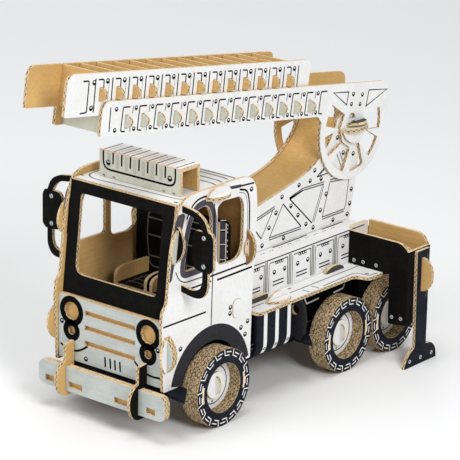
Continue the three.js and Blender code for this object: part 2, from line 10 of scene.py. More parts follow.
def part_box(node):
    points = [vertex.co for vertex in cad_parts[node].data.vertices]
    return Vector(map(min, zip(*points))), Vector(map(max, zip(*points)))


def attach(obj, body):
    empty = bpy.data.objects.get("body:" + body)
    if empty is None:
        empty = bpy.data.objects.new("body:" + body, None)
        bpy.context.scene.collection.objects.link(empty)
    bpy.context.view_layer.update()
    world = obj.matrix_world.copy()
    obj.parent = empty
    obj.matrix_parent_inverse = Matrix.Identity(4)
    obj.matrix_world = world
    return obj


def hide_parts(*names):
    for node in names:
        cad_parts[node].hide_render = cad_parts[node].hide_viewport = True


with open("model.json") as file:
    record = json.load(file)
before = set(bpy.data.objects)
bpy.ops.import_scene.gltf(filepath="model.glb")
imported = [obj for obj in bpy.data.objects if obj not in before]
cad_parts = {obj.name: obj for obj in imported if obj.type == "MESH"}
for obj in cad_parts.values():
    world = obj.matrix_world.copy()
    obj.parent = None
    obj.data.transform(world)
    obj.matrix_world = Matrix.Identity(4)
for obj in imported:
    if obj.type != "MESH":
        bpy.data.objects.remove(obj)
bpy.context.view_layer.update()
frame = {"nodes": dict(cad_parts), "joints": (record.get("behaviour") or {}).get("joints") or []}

# ---- sizes: millimetres from here on, Y from the front axle, Z from the ground ----
MM = 0.001
BOARD = 2.0          # thickness of a board
FLUTE = 3.1          # one wave of a board's corrugated middle
PROUD = 0.04         # how far printing stands proud of its board
SPREAD = 1.35        # how much wider a line prints than it is drawn
DECK_TOP = 74.0      # top of the folded body cover
COVER_HALF = 27.4    # its half width
SEAT_HALF = 25.0
SEAT_TOP = 67.0
SIDES = (("left", 1), ("right", -1))

JOINTS = {joint["name"]: joint for joint in frame["joints"]}
FRONT_AXLE = JOINTS["front_wheels_spin"]["pos_m"][1]
PIVOT = Vector(JOINTS["ladder_raise"]["pos_m"])
ALONG = Vector(JOINTS["ladder_extend"]["axis"]).normalized()     # up the ladder
SQUARE = Vector((0, ALONG.z, -ALONG.y))                          # square to the ladder, upwards
X_AXIS = Vector((1, 0, 0))
Y_AXIS = Vector((0, 1, 0))
Z_AXIS = Vector((0, 0, 1))


def high(node, axis):
    """A CAD node's highest X, Y or Z in millimetres, Y from the front axle."""
    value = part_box(node)[1][axis]
    return (value - (FRONT_AXLE if axis == 1 else 0)) / MM


def low(node, axis):
    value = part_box(node)[0][axis]
    return (value - (FRONT_AXLE if axis == 1 else 0)) / MM


def point(x, y, z):
    return Vector((x * MM, FRONT_AXLE + y * MM, z * MM))


# ---- camera, lights and floor ----
CAMERA_AZIMUTH = math.radians(39.239)
CAMERA_ELEVATION = math.radians(18.084)
CAMERA_ROLL = math.radians(1.130)
CAMERA_AT = Vector((0.87946, -1.06281, 0.53956))
CAMERA_LENS = 204.78


def make_camera():
    a, e, roll = CAMERA_AZIMUTH, CAMERA_ELEVATION, CAMERA_ROLL
    back = Vector((math.sin(a) * math.cos(e), -math.cos(a) * math.cos(e), math.sin(e)))
    level = Vector((math.cos(a), math.sin(a), 0))
    up = back.cross(level)
    right = level * math.cos(roll) + up * math.sin(roll)
    above = up * math.cos(roll) - level * math.sin(roll)
    data = bpy.data.cameras.new("camera")
    data.lens = CAMERA_LENS
    data.clip_start = 0.05
    camera = bpy.data.objects.new("camera", data)
    camera.matrix_world = Matrix.Translation(CAMERA_AT) @ Matrix((right, above, back)).transposed().to_4x4()
    bpy.context.scene.collection.objects.link(camera)
    bpy.context.scene.camera = camera


def area_light(name, at, size, watts, colour=(1, 1, 1)):
    data = bpy.data.lights.new(name, "AREA")
    data.shape = "DISK"
    data.size = size
    data.energy = watts
    data.color = colour
    lamp = bpy.data.objects.new(name, data)
    lamp.location = at
    aim = Vector((0, 0, 0.08)) - Vector(at)
    lamp.rotation_euler = aim.to_track_quat("-Z", "Y").to_euler()
    bpy.context.scene.collection.objects.link(lamp)


def make_studio():
    area_light("key", (1.38, -0.62, 1.05), 0.6, 17)
    area_light("front_fill", (-0.55, -1.55, 0.95), 0.9, 9)
    area_light("top", (0.15, -0.35, 1.75), 0.8, 11.5)
    area_light("back_fill", (-1.3, 1.3, 1.0), 1.0, 6)
    world = bpy.data.worlds.new("studio")
    world.use_nodes = True
    world.node_tree.nodes["Background"].inputs["Color"].default_value = (0.95, 0.97, 1.0, 1)
    world.node_tree.nodes["Background"].inputs["Strength"].default_value = 0.36
    bpy.context.scene.world = world
    bpy.context.scene.view_settings.view_transform = "Standard"
    mesh = bpy.data.meshes.new("floor")
    reach = 6.0
    corners = [(-reach, -reach, 0), (reach, -reach, 0), (reach, reach, 0), (-reach, reach, 0)]
    mesh.from_pydata(corners, [], [(0, 1, 2, 3)])
    floor = bpy.data.objects.new("floor", mesh)
    graph = Graph("studio_floor")
    graph.surface(graph.mix(graph.noise(3), (0.88, 0.88, 0.88), (0.91, 0.91, 0.905)), 0.8)
    mesh.materials.append(graph.material)
    bpy.context.scene.collection.objects.link(floor)


# ---- material graphs ----
class Graph:
    """A material's node tree, built by short calls. Distances in it are metres."""

    def __init__(self, name):
        self.material = bpy.data.materials.new(name)
        self.material.use_nodes = True
        self.tree = self.material.node_tree
        self.shader = self.tree.nodes["Principled BSDF"]
        self.place = self.tree.nodes.new("ShaderNodeTexCoord").outputs["Object"]

    def feed(self, socket, value):
        if hasattr(value, "is_output"):
            self.tree.links.new(value, socket)
        elif socket.type == "RGBA" and len(value) == 3:
            socket.default_value = (*value, 1)
        else:
            socket.default_value = value

    def surface(self, colour, rough, gloss=0.5):
        for socket, value in (("Base Color", colour), ("Roughness", rough), ("Specular IOR Level", gloss)):
            self.feed(self.shader.inputs[socket], value)

    def math(self, operation, a, b=0.0, clamp=False):
        node = self.tree.nodes.new("ShaderNodeMath")
        node.operation = operation
        node.use_clamp = clamp
        self.feed(node.inputs[0], a)
        self.feed(node.inputs[1], b)
        return node.outputs[0]

    def plus(self, base, value, share):
        """base + value * share"""
        return self.math("ADD", base, self.math("MULTIPLY", value, share))

    def dot(self, direction):
        node = self.tree.nodes.new("ShaderNodeVectorMath")
        node.operation = "DOT_PRODUCT"
        self.feed(node.inputs[0], self.place)
        node.inputs[1].default_value = tuple(direction)
        return node.outputs["Value"]

    def noise(self, scale, detail=3.0, stretch=(1, 1, 1), rough=0.55):
        mapping = self.tree.nodes.new("ShaderNodeMapping")
        self.feed(mapping.inputs["Vector"], self.place)
        mapping.inputs["Scale"].default_value = stretch
        node = self.tree.nodes.new("ShaderNodeTexNoise")
        self.feed(node.inputs["Vector"], mapping.outputs[0])
        node.inputs["Scale"].default_value = scale
        node.inputs["Detail"].default_value = detail
        node.inputs["Roughness"].default_value = rough
        return node.outputs["Fac"]

    def mix(self, share, a, b):
        node = self.tree.nodes.new("ShaderNodeMix")
        node.data_type = "RGBA"
        self.feed(node.inputs["Factor"], share)
        self.feed(node.inputs[6], a)
        self.feed(node.inputs[7], b)
        return node.outputs[2]

    def step(self, value, start, end):
        """0 before start, 1 after end, smooth between; start may be the greater."""
        node = self.tree.nodes.new("ShaderNodeMapRange")
        node.interpolation_type = "SMOOTHSTEP"
        low_end, high_end = min(start, end), max(start, end)
        self.feed(node.inputs["Value"], value)
        node.inputs["From Min"].default_value = low_end
        node.inputs["From Max"].default_value = high_end
        node.inputs["To Min"].default_value = 0 if start < end else 1
        node.inputs["To Max"].default_value = 1 if start < end else 0
        return node.outputs["Result"]

    def wave(self, value, period, wobble=0.0):
        """A sine of value, from -1 to 1, with its phase shaken by noise."""
        phase = self.math("MULTIPLY", value, 2 * math.pi / period)
        if wobble:
            phase = self.plus(phase, self.noise(160, 2), wobble)
        return self.math("SINE", phase)

    def bump(self, height, distance, strength=1.0):
        node = self.tree.nodes.new("ShaderNodeBump")
        node.inputs["Strength"].default_value = strength
        node.inputs["Distance"].default_value = distance
        self.feed(node.inputs["Height"], height)
        self.tree.links.new(node.outputs[0], self.shader.inputs["Normal"])


# each print: base, mottle and speck colours, speck threshold, roughness, gloss
PRINTS = {
    "white": [(0.83, 0.83, 0.825), (0.77, 0.765, 0.75), (0.45, 0.37, 0.27), 0.73, 0.62, 0.25],
    # painted light: a white whiter than the other whites, for the light box top, against the ladder's shadow
    "painted_light_white": [(0.95, 0.945, 0.93), (0.92, 0.91, 0.89), (0.6, 0.5, 0.38), 0.74, 0.6, 0.3],
    "silver": [(0.45, 0.485, 0.465), (0.53, 0.56, 0.535), (0.30, 0.31, 0.29), 0.62, 0.50, 0.25],
    "black": [(0.0038, 0.0036, 0.0036), (0.007, 0.0065, 0.006), (0.06, 0.055, 0.045), 0.67, 0.7, 0.05],
    "charcoal": [(0.017, 0.017, 0.019), (0.028, 0.028, 0.030), (0.12, 0.12, 0.11), 0.66, 0.7, 0.05],
    "navy": [(0.006, 0.0072, 0.0125), (0.015, 0.016, 0.025), (0.085, 0.09, 0.10), 0.66, 0.65, 0.08],
    "slate": [(0.055, 0.050, 0.042), (0.085, 0.078, 0.066), (0.02, 0.018, 0.015), 0.62, 0.8, 0.1],
    "pale_grey": [(0.55, 0.555, 0.465), (0.61, 0.61, 0.52), (0.38, 0.36, 0.28), 0.68, 0.55, 0.25],
}
MOTTLE_STRETCH = {"silver": (0.10, 1, 1), "pale_grey": (1, 1, 0.12)}
CACHE = {}


def cached(key, make):
    if key not in CACHE:
        CACHE[key] = make()
    return CACHE[key]


def tag(vector):
    return "_".join(str(round(abs(c) * 100)) for c in vector)


def print_material(kind, ribs):
    """Printed outer liner: ink mottle, paper specks and, where it is white, the washboard of the flutes."""
    def make():
        base, mottle, speck, threshold, rough, gloss = PRINTS[kind]
        g = Graph(f"print_{kind}_{tag(ribs)}")
        fibre = g.noise(2400, 3)
        streaks = g.noise(620, 3, MOTTLE_STRETCH.get(kind, (1, 1, 1)))
        cloud = g.math("MULTIPLY", g.math("ADD", g.noise(70, 4), streaks), 0.5)
        body = g.mix(g.step(cloud, 0.38, 0.62), base, mottle)
        specks = g.step(g.noise(1500, 2), threshold, threshold + 0.07)
        body = g.mix(g.math("MULTIPLY", specks, 0.5), body, speck)
        g.surface(body, g.plus(rough - 0.06, fibre, 0.14), gloss)
        height = g.math("MULTIPLY", fibre, 0.45)
        if kind == "white":
            height = g.plus(height, g.wave(g.dot(ribs), FLUTE * MM, 1.2), 0.25)
        g.bump(height, 0.0001, 0.5)
        return g.material
    return cached(("print", kind, tag(ribs)), make)


def kraft_material(ribs, shade=1.0):
    """Bare brown liner: fibres along the flutes, scattered dark flecks and a faint washboard."""
    def tone(r, g, b):
        return r * shade, g * shade ** 1.15, b * shade ** 1.3

    def make():
        g = Graph(f"kraft_{tag(ribs)}")
        stretch = tuple(1.0 if abs(c) > 0.5 else 0.3 for c in ribs)
        washboard = g.wave(g.dot(ribs), FLUTE * MM, 1.5)
        fibre = g.noise(1100, 4, stretch)
        cloud = g.noise(38, 3)
        share = g.plus(g.math("MULTIPLY", cloud, 0.5), fibre, 0.5)
        share = g.plus(share, washboard, 0.012)
        body = g.mix(g.step(share, 0.28, 0.72), tone(0.55, 0.340, 0.118), tone(0.68, 0.445, 0.182))
        flecks = g.step(g.noise(1500, 2), 0.64, 0.70)
        body = g.mix(g.math("MULTIPLY", flecks, 0.45), body, tone(0.20, 0.11, 0.04))
        pale = g.step(g.noise(1800, 2, stretch), 0.66, 0.73)
        body = g.mix(g.math("MULTIPLY", pale, 0.35), body, tone(0.78, 0.60, 0.35))
        g.surface(body, g.plus(0.78, fibre, 0.16), 0.2)
        g.bump(g.plus(g.math("MULTIPLY", washboard, 0.25), fibre, 0.5), 0.00014, 0.55)
        return g.material
    return cached(("kraft", tag(ribs), shade), make)


def finish_edge(g, depth, across, layer=BOARD, fineness=1.0, ragged=1.0, shade=1.0):
    """Cut edge at a depth below the outer face, in metres: two liners with a wave between them, and painted
    shade in the empty flute tunnels between them.
    """
    v = g.math("SUBTRACT", g.math("MULTIPLY", depth, 2 / (layer * MM)), 1)
    crest = g.math("MULTIPLY", g.wave(across, FLUTE * fineness * MM, 5.0), 0.58)
    gap = g.math("ABSOLUTE", g.math("SUBTRACT", v, crest))
    middle = g.step(gap, 0.60, 0.26)
    liners = g.step(g.math("ABSOLUTE", v), 0.60, 0.76)
    torn = g.step(g.noise(620 / fineness, 3), 0.46, 0.60)
    solid = g.math("MAXIMUM", g.math("MAXIMUM", middle, liners), g.math("MULTIPLY", torn, 0.75))
    frayed = g.step(g.noise(900, 2), 0.50, 0.58)
    solid = g.math("SUBTRACT", solid, g.math("MULTIPLY", frayed, (ragged - 1) * 0.9))
    solid = g.math("MINIMUM", g.math("MAXIMUM", solid, 0), 1)
    fibre = g.noise(2200, 3)
    dull, pale = ([c * shade for c in tone] for tone in ((0.55, 0.39, 0.20), (0.82, 0.66, 0.44)))
    paper = g.mix(fibre, dull, pale)
    # the flute tunnels are coloured dark: painted shade inside them
    hollow_shade = g.mix(fibre, (0.060, 0.032, 0.012), (0.17, 0.10, 0.040))
    g.surface(g.mix(solid, hollow_shade, paper), 0.9, 0.15)
    g.bump(g.plus(solid, fibre, 0.25), 0.0005, 0.7)
    return g.material


def depth_below(g, planes):
    """The least distance below any of the outer planes, given as (normal, distance)."""
    found = None
    for normal, distance in planes:
        here = g.math("SUBTRACT", distance, g.dot(normal))
        found = here if found is None else g.math("MINIMUM", found, here)
    return found


def edge_material(planes, ribs, layer=BOARD):
    """Cut edge across the flutes of a flat or folded board whose outer faces lie in the planes."""
    def make():
        g = Graph("cut_edge_" + "_".join(f"{tag(n)}_{round(abs(d) * 10000)}" for n, d in planes))
        return finish_edge(g, depth_below(g, planes), g.dot(ribs), layer)
    key = ("edge", tag(ribs), tuple((tuple(round(c, 3) for c in n), round(d, 5)) for n, d in planes))
    return cached(key, make)


def plain_edge_material():
    """Cut edge along the flutes: pale fuzzy paper with a broken darker line."""
    def make():
        g = Graph("cut_edge_along")
        fibre = g.noise(1900, 4)
        paper = g.mix(g.step(fibre, 0.38, 0.62), (0.60, 0.42, 0.22), (0.84, 0.68, 0.46))
        dark = g.step(g.noise(700, 2), 0.56, 0.66)
        g.surface(g.mix(g.math("MULTIPLY", dark, 0.6), paper, (0.24, 0.14, 0.06)), 0.9, 0.15)
        g.bump(fibre, 0.0003, 0.6)
        return g.material
    return cached("plain_edge", make)


def wood_material():
    def make():
        g = Graph("birch_dowel")
        grain = g.noise(700, 4, (0.06, 1, 1))
        g.surface(g.mix(g.step(grain, 0.35, 0.65), (0.50, 0.33, 0.17), (0.70, 0.52, 0.31)), 0.6)
        g.bump(grain, 0.0001, 0.5)
        return g.material
    return cached("wood", make)


# each ink: base and worn colour, roughness
INKS = {
    "ink": [(0.0035, 0.0035, 0.004), (0.016, 0.015, 0.014), 0.6],
    "shade": [(0.075, 0.068, 0.085), (0.12, 0.11, 0.13), 0.6],
    "arch": [(0.032, 0.031, 0.036), (0.075, 0.072, 0.076), 0.6],
    "soft": [(0.15, 0.145, 0.125), (0.30, 0.29, 0.26), 0.6],
    "band": [(0.46, 0.465, 0.405), (0.56, 0.57, 0.51), 0.6],
    "paper": [(0.84, 0.835, 0.82), (0.66, 0.65, 0.63), 0.6],
    "silver": [(0.50, 0.53, 0.53), (0.36, 0.38, 0.38), 0.5],
    "slate": [(0.060, 0.055, 0.050), (0.13, 0.12, 0.11), 0.8],
    "crease": [(0.80, 0.50, 0.40), (0.86, 0.70, 0.60), 0.7],
    "cream": [(0.80, 0.64, 0.43), (0.58, 0.40, 0.21), 0.85],
}


def ink_material(name):
    """Printing ink: even, with fine wear where the paper shows through."""
    def make():
        base, worn, rough = INKS[name]
        g = Graph(f"ink_{name}")
        fibre = g.noise(1800, 3)
        g.surface(g.mix(g.step(fibre, 0.56, 0.76), base, worn), g.plus(rough - 0.05, fibre, 0.12), 0.02)
        g.bump(fibre, 0.00006, 0.4)
        return g.material
    return cached(("ink", name), make)


# ---- boards: which faces are printed, bare or cut ----
def flatness(mesh):
    """The board's own normal: that of the greatest area of faces."""
    best = {}
    for polygon in mesh.polygons:
        n = polygon.normal
        n = n if (n.x + n.y * 1.01 + n.z * 1.02) > 0 else -n
        key = (round(n.x, 2), round(n.y, 2), round(n.z, 2))
        area, total = best.get(key, (0.0, Vector()))
        best[key] = (area + polygon.area, total + n * polygon.area)
    return max(best.values(), key=lambda entry: entry[0])[1].normalized()


def dress(item, kind, outward, flutes, back="kraft", folds=None):
    """Gives a board its print on the faces that look outward, a bare or printed back and cut edges.

    folds lists the outer faces of a folded board as (normal, distance); a flat board needs none."""
    board = frame["nodes"][item] if isinstance(item, str) else item
    mesh = board.data
    outward = Vector(outward)
    normal = flatness(mesh)
    normal = normal if normal.dot(outward) > 0 else -normal
    layer = BOARD
    if folds is None:
        heights = [v.co.dot(normal) for v in mesh.vertices]
        folds = [(normal, max(heights))]
        layer = (max(heights) - min(heights)) / MM
    flutes = Vector(flutes)
    ribs = normal.cross(flutes).normalized() if len(folds) == 1 else flutes
    bare = kraft_material(ribs) if back == "kraft" else print_material(back, ribs)
    front = kraft_material(ribs) if kind == "kraft" else print_material(kind, ribs)
    mesh.materials.clear()
    for material in (front, bare, edge_material(folds, ribs, layer), plain_edge_material()):
        mesh.materials.append(material)
    for polygon in mesh.polygons:
        polygon.material_index = face_role(polygon, folds, ribs, layer)
    return board


def face_role(polygon, folds, ribs, layer):
    """0 printed face, 1 bare back, 2 edge cut across the flutes, 3 edge cut along them."""
    for role, turn, below in ((0, 1, 0.0), (1, -1, layer * MM)):
        for normal, distance in folds:
            reach = polygon.center.dot(normal) - distance + below
            if polygon.normal.dot(normal) * turn > 0.9 and abs(reach) < 0.3 * MM:
                return role
    return 3 if abs(polygon.normal.dot(ribs)) > 0.93 else 2


def mirrored(make):
    """Runs make for the truck's left and right."""
    for word, sign in SIDES:
        make(word, sign)


# ---- meshes ----
def new_object(name, bm, materials):
    bmesh.ops.recalc_face_normals(bm, faces=bm.faces)
    mesh = bpy.data.meshes.new(name)
    bm.to_mesh(mesh)
    bm.free()
    for material in materials:
        mesh.materials.append(material)
    made = bpy.data.objects.new(name, mesh)
    bpy.context.scene.collection.objects.link(made)
    return made


def prism(bm, outline, place, under, over, index=0):
    """A closed plate: outline points (a, b) at two heights of a face."""
    bottom = [bm.verts.new(place(a, b, under)) for a, b in outline]
    top = [bm.verts.new(place(a, b, over)) for a, b in outline]
    faces = [bm.faces.new(top), bm.faces.new(bottom[::-1])]
    count = len(outline)
    for i in range(count):
        j = (i + 1) % count
        faces.append(bm.faces.new((bottom[i], bottom[j], top[j], top[i])))
    for face in faces:
        face.material_index = index


def cut_board(name, outline, place, under, over, kind, outward, flutes, body="truck",
              back="kraft"):
    """A flat board that only the visual model has, dressed like the others."""
    bm = bmesh.new()
    prism(bm, outline, place, under, over)
    board = dress(new_object(name, bm, []), kind, outward, flutes, back)
    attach(board, body)
    return board


def circle(centre, radius, sides=20, start=0.0, sweep=2 * math.pi, closed=True):
    count = sides if closed else sides + 1
    turns = [start + sweep * i / sides for i in range(count)]
    return [(centre[0] + radius * math.cos(t), centre[1] + radius * math.sin(t)) for t in turns]


def rounded(points, radius, closed=False, steps=4):
    """The line with its corners rounded off."""
    out = []
    count = len(points)
    for i, corner in enumerate(points):
        if not closed and i in (0, count - 1):
            out.append(corner)
            continue
        here = Vector(corner)
        inn = Vector(points[i - 1]) - here
        off = Vector(points[(i + 1) % count]) - here
        reach = min(radius, inn.length * 0.48, off.length * 0.48)
        a = here + inn.normalized() * reach
        b = here + off.normalized() * reach
        for k in range(steps + 1):
            t = k / steps
            spot = a * (1 - t) ** 2 + here * 2 * t * (1 - t) + b * t ** 2
            out.append((spot.x, spot.y))
    return out


def edges_of_strip(points, width, closed):
    """The two sides of a line of that width."""
    count = len(points)
    spots = [Vector(p) for p in points]
    left, right = [], []
    for i, here in enumerate(spots):
        before = spots[i - 1] if (closed or i > 0) else None
        after = spots[(i + 1) % count] if (closed or i < count - 1) else None
        inn = (here - before).normalized() if before is not None else None
        off = (after - here).normalized() if after is not None else inn
        inn = inn if inn is not None else off
        along = (inn + off).normalized() if (inn + off).length > 1e-6 else off
        side = Vector((-along.y, along.x))
        reach = width / 2 / max(0.4, side.dot(Vector((-off.y, off.x))))
        left.append(here + side * reach)
        right.append(here - side * reach)
    return left, right


class Artwork:
    """Printed marks on one face of a board, as thin closed solids."""

    def __init__(self, name, body, place):
        self.name = name
        self.body = body
        self.place = place
        self.bm = bmesh.new()
        self.inks = []

    def index(self, ink):
        if ink not in self.inks:
            self.inks.append(ink)
        return self.inks.index(ink)

    def area(self, ink, outline, level=0):
        prism(self.bm, outline, self.place, -PROUD / 2, PROUD * (1 + level), self.index(ink))

    def line(self, ink, points, width=0.6, closed=False, level=0):
        left, right = edges_of_strip(points, width * SPREAD, closed)
        index = self.index(ink)
        rows = []
        for a, b in zip(left, right):
            rows.append([self.bm.verts.new(self.place(p.x, p.y, lift))
                         for lift in (-PROUD / 2, PROUD * (1 + level)) for p in (a, b)])
        pairs = zip(rows, rows[1:] + rows[:1] if closed else rows[1:])
        faces = []
        for (la, ra, lb, rb), (lc, rc, ld, rd) in pairs:
            for corners in ((lb, rb, rd, ld), (la, lc, rc, ra), (la, lb, ld, lc), (ra, rc, rd, rb)):
                faces.append(self.bm.faces.new(corners))
        if not closed:
            for la, ra, lb, rb in (rows[0], rows[-1]):
                faces.append(self.bm.faces.new((la, ra, rb, lb)))
        for face in faces:
            face.material_index = index

    def dot(self, ink, centre, radius):
        self.area(ink, circle(centre, radius, 14))

    def ring(self, ink, centre, radius, width, level=0, sides=28):
        self.line(ink, circle(centre, radius, sides), width, True, level)

    def rivet(self, centre, ink="ink", radius=1.15):
        """A round rivet head: a ring, and a dark crescent on its lower side."""
        self.ring(ink, centre, radius, 0.42, sides=16)
        a, b = centre
        lower = circle(centre, radius, 10, math.pi * 0.98, math.pi * 1.04, closed=False)
        brow = ((0.6, 0.12), (0, -0.18), (-0.6, 0.12))
        upper = [(a + radius * across, b + radius * up) for across, up in brow]
        self.area(ink, lower + upper, 1)

    def screw(self, centre, radius, start, end):
        """A silver dot with a dark slot, whose ends are measured from its centre."""
        self.dot("silver", centre, radius)
        self.line("ink", [(centre[0] + a, centre[1] + b) for a, b in (start, end)], 0.35, level=1)

    def make(self):
        made = new_object(self.name, self.bm, [ink_material(ink) for ink in self.inks])
        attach(made, self.body)


def side_face(x):
    sign = 1 if x > 0 else -1
    return lambda a, b, lift: point(x + sign * lift, a, b)


def front_face(y):
    return lambda a, b, lift: point(a, y - lift, b)


def top_face(z):
    return lambda a, b, lift: point(a, b, z + lift)


def ladder_point(x, s, h):
    return PIVOT + X_AXIS * (x * MM) + ALONG * (s * MM) + SQUARE * (h * MM)


def ladder_face(x):
    sign = 1 if x > 0 else -1
    return lambda a, b, lift: ladder_point(x + sign * lift, a, b)


# ---- dressing the CAD boards ----
def plane(normal, distance):
    """An outer face of a folded board: its distance in millimetres, Y from the front axle."""
    shift = FRONT_AXLE / MM * normal[1]
    return Vector(normal), (distance + shift) * MM


# boards on both sides of the truck: print, and the way the flutes run
SIDE_BOARDS = {
    "cab_side": ("white", Y_AXIS), "tower_side": ("white", Y_AXIS),
    "lower_rail": ("white", -ALONG), "upper_rail": ("white", -ALONG),
    "outrigger_leg": ("navy", Y_AXIS), "chassis_rail": ("black", Y_AXIS), "bumper_bracket": ("black", Y_AXIS),
}
TANK_HOLE = (38.2, 44.4)     # across and up, in a tank's end board
WALL_SHADE = 0.42            # the cab's rear wall, seen from the front, is in its own shadow


def dress_boards():
    for name, (kind, flutes) in SIDE_BOARDS.items():
        for word, sign in SIDES:
            dress(f"{name}_{word}", kind, (sign, 0, 0), flutes)
    dress("cab_roof", "white", Z_AXIS, X_AXIS)
    dress("windscreen_frame", "black", -Y_AXIS, X_AXIS)
    dress("grille_panel", "silver", -Y_AXIS, X_AXIS)
    dress("grille_backing", "kraft", -Y_AXIS, X_AXIS)
    wall = dress("cab_rear_wall", "kraft", -Y_AXIS, X_AXIS, back="white")
    wall.data.materials[0] = kraft_material(Z_AXIS, WALL_SHADE)
    darken_edges(dress("seat_back", "black", -Y_AXIS, X_AXIS), "black")
    dress("bumper_front_layer", "silver", -Y_AXIS, X_AXIS)
    dress("bumper_back_layer", "kraft", -Y_AXIS, X_AXIS)
    darken_edges(dress("chassis_plate", "navy", Z_AXIS, X_AXIS, back="navy"), "navy")
    dress("ladder_pivot", "pale_grey", Z_AXIS, X_AXIS)
    dress("outrigger_cross", "kraft", -Y_AXIS, X_AXIS)
    for word, sign in SIDES:
        dress(f"running_board_{word}", "white", Z_AXIS, X_AXIS)
        dress(f"mirror_{word}", "black", -Y_AXIS, X_AXIS)
        tank_end = dress(f"tank_end_{word}", "charcoal", Y_AXIS, X_AXIS, back="charcoal")
        darken_edges(tank_end, "charcoal", (TANK_HOLE[0] * sign, TANK_HOLE[1]))
    for name in frame["nodes"]:
        if name.startswith("lower_rung"):
            dress(name, "pale_grey", ALONG, X_AXIS, back="pale_grey")
        elif name.startswith("upper_rung"):
            dress(name, "kraft", ALONG, X_AXIS)
        elif name.startswith("axle"):
            mesh = frame["nodes"][name].data
            mesh.materials.clear()
            mesh.materials.append(wood_material())


def darken_edges(board, kind, hole=None):
    """Makes a board's cut edges as dark as its faces, with the faces' material; the rim of a hole at (x, z)
    stays bare.
    """
    board.data.materials.append(print_material(kind, X_AXIS))
    for polygon in board.data.polygons:
        reach = 99.0
        if hole:
            a, b = polygon.center.x / MM - hole[0], polygon.center.z / MM - hole[1]
            reach = math.hypot(a, b)
        if polygon.material_index in (2, 3) and reach > 4.0:
            polygon.material_index = 4


def dress_folded():
    """Boards that turn a corner: their outer faces are listed one by one."""
    box = "roof_light_box"
    folded = dress(box, "pale_grey", -Y_AXIS, X_AXIS, folds=[
        plane((0, -1, 0), -low(box, 1)), plane((0, 0, 1), high(box, 2)), plane((0, 1, 0), high(box, 1))])
    # its top faces: their own white print, made extra white as painted light that lifts them out of the
    # ladder's shadow
    folded.data.materials.append(print_material("painted_light_white", X_AXIS))
    for polygon in folded.data.polygons:
        if polygon.material_index == 0 and polygon.normal.z > 0.9:
            polygon.material_index = 4
    slide = frame["nodes"]["tower_slide"].data
    slide.materials.clear()
    slide.materials.append(kraft_material(Y_AXIS))
    slide.materials.append(plain_edge_material())
    for polygon in slide.polygons:
        polygon.material_index = 1 if abs(polygon.normal.x) > 0.9 else 0
    half = high("body_cover", 0)
    dress("body_cover", "white", Z_AXIS, Y_AXIS, folds=[
        plane((1, 0, 0), half), plane((-1, 0, 0), half), plane((0, 0, 1), DECK_TOP)])
    dress_seat()
    mirrored(dress_outrigger)
    mirrored(dress_tank)


def dress_seat():
    """Two seats side by side: their arms are printed outside and bare inside."""
    seat = dress("seat_base", "black", X_AXIS, Y_AXIS, folds=[
        plane((1, 0, 0), SEAT_HALF), plane((-1, 0, 0), SEAT_HALF), plane((0, 0, 1), SEAT_TOP)])
    for polygon in seat.data.polygons:
        if abs(polygon.normal.x) > 0.9:
            from_middle = abs(polygon.center.x) / MM
            polygon.material_index = 1 if BOARD < from_middle < SEAT_HALF - BOARD / 2 else 0


def dress_outrigger(word, sign):
    name = f"outrigger_box_{word}"
    outer = high(name, 0) if sign > 0 else -low(name, 0)
    dress(name, "black", -Y_AXIS, Z_AXIS, folds=[
        plane((sign, 0, 0), outer), plane((0, -1, 0), -low(name, 1)), plane((0, 1, 0), high(name, 1))])


def dress_tank(word, sign):
    shell = frame["nodes"][f"tank_shell_{word}"].data
    shell.materials.clear()
    shell.materials.append(print_material("navy", Y_AXIS))
    shell.materials.append(plain_edge_material())
    for polygon in shell.polygons:
        polygon.material_index = 1 if polygon.normal.z > 0.9 else 0


# ---- cab artwork ----
QUARTER_WINDOW = [(-23.1, 91.2), (-0.3, 91.0), (-0.5, 117.6), (-4.4, 124.2), (-12.5, 123.8), (-17.2, 117.7),
                  (-20.6, 106.9)]
DOOR_PULL = [(18.0, 54.6), (24.9, 53.8), (24.9, 63.8), (22.2, 65.0), (18.0, 64.0)]
ARCH_CENTRE = (0.0, 22.1)


def grown(outline, by):
    """The closed outline moved outwards."""
    edges = edges_of_strip(outline, 2 * by, True)
    wider = max(edges, key=lambda edge: max(p.x for p in edge) - min(p.x for p in edge))
    return [(p.x, p.y) for p in wider]


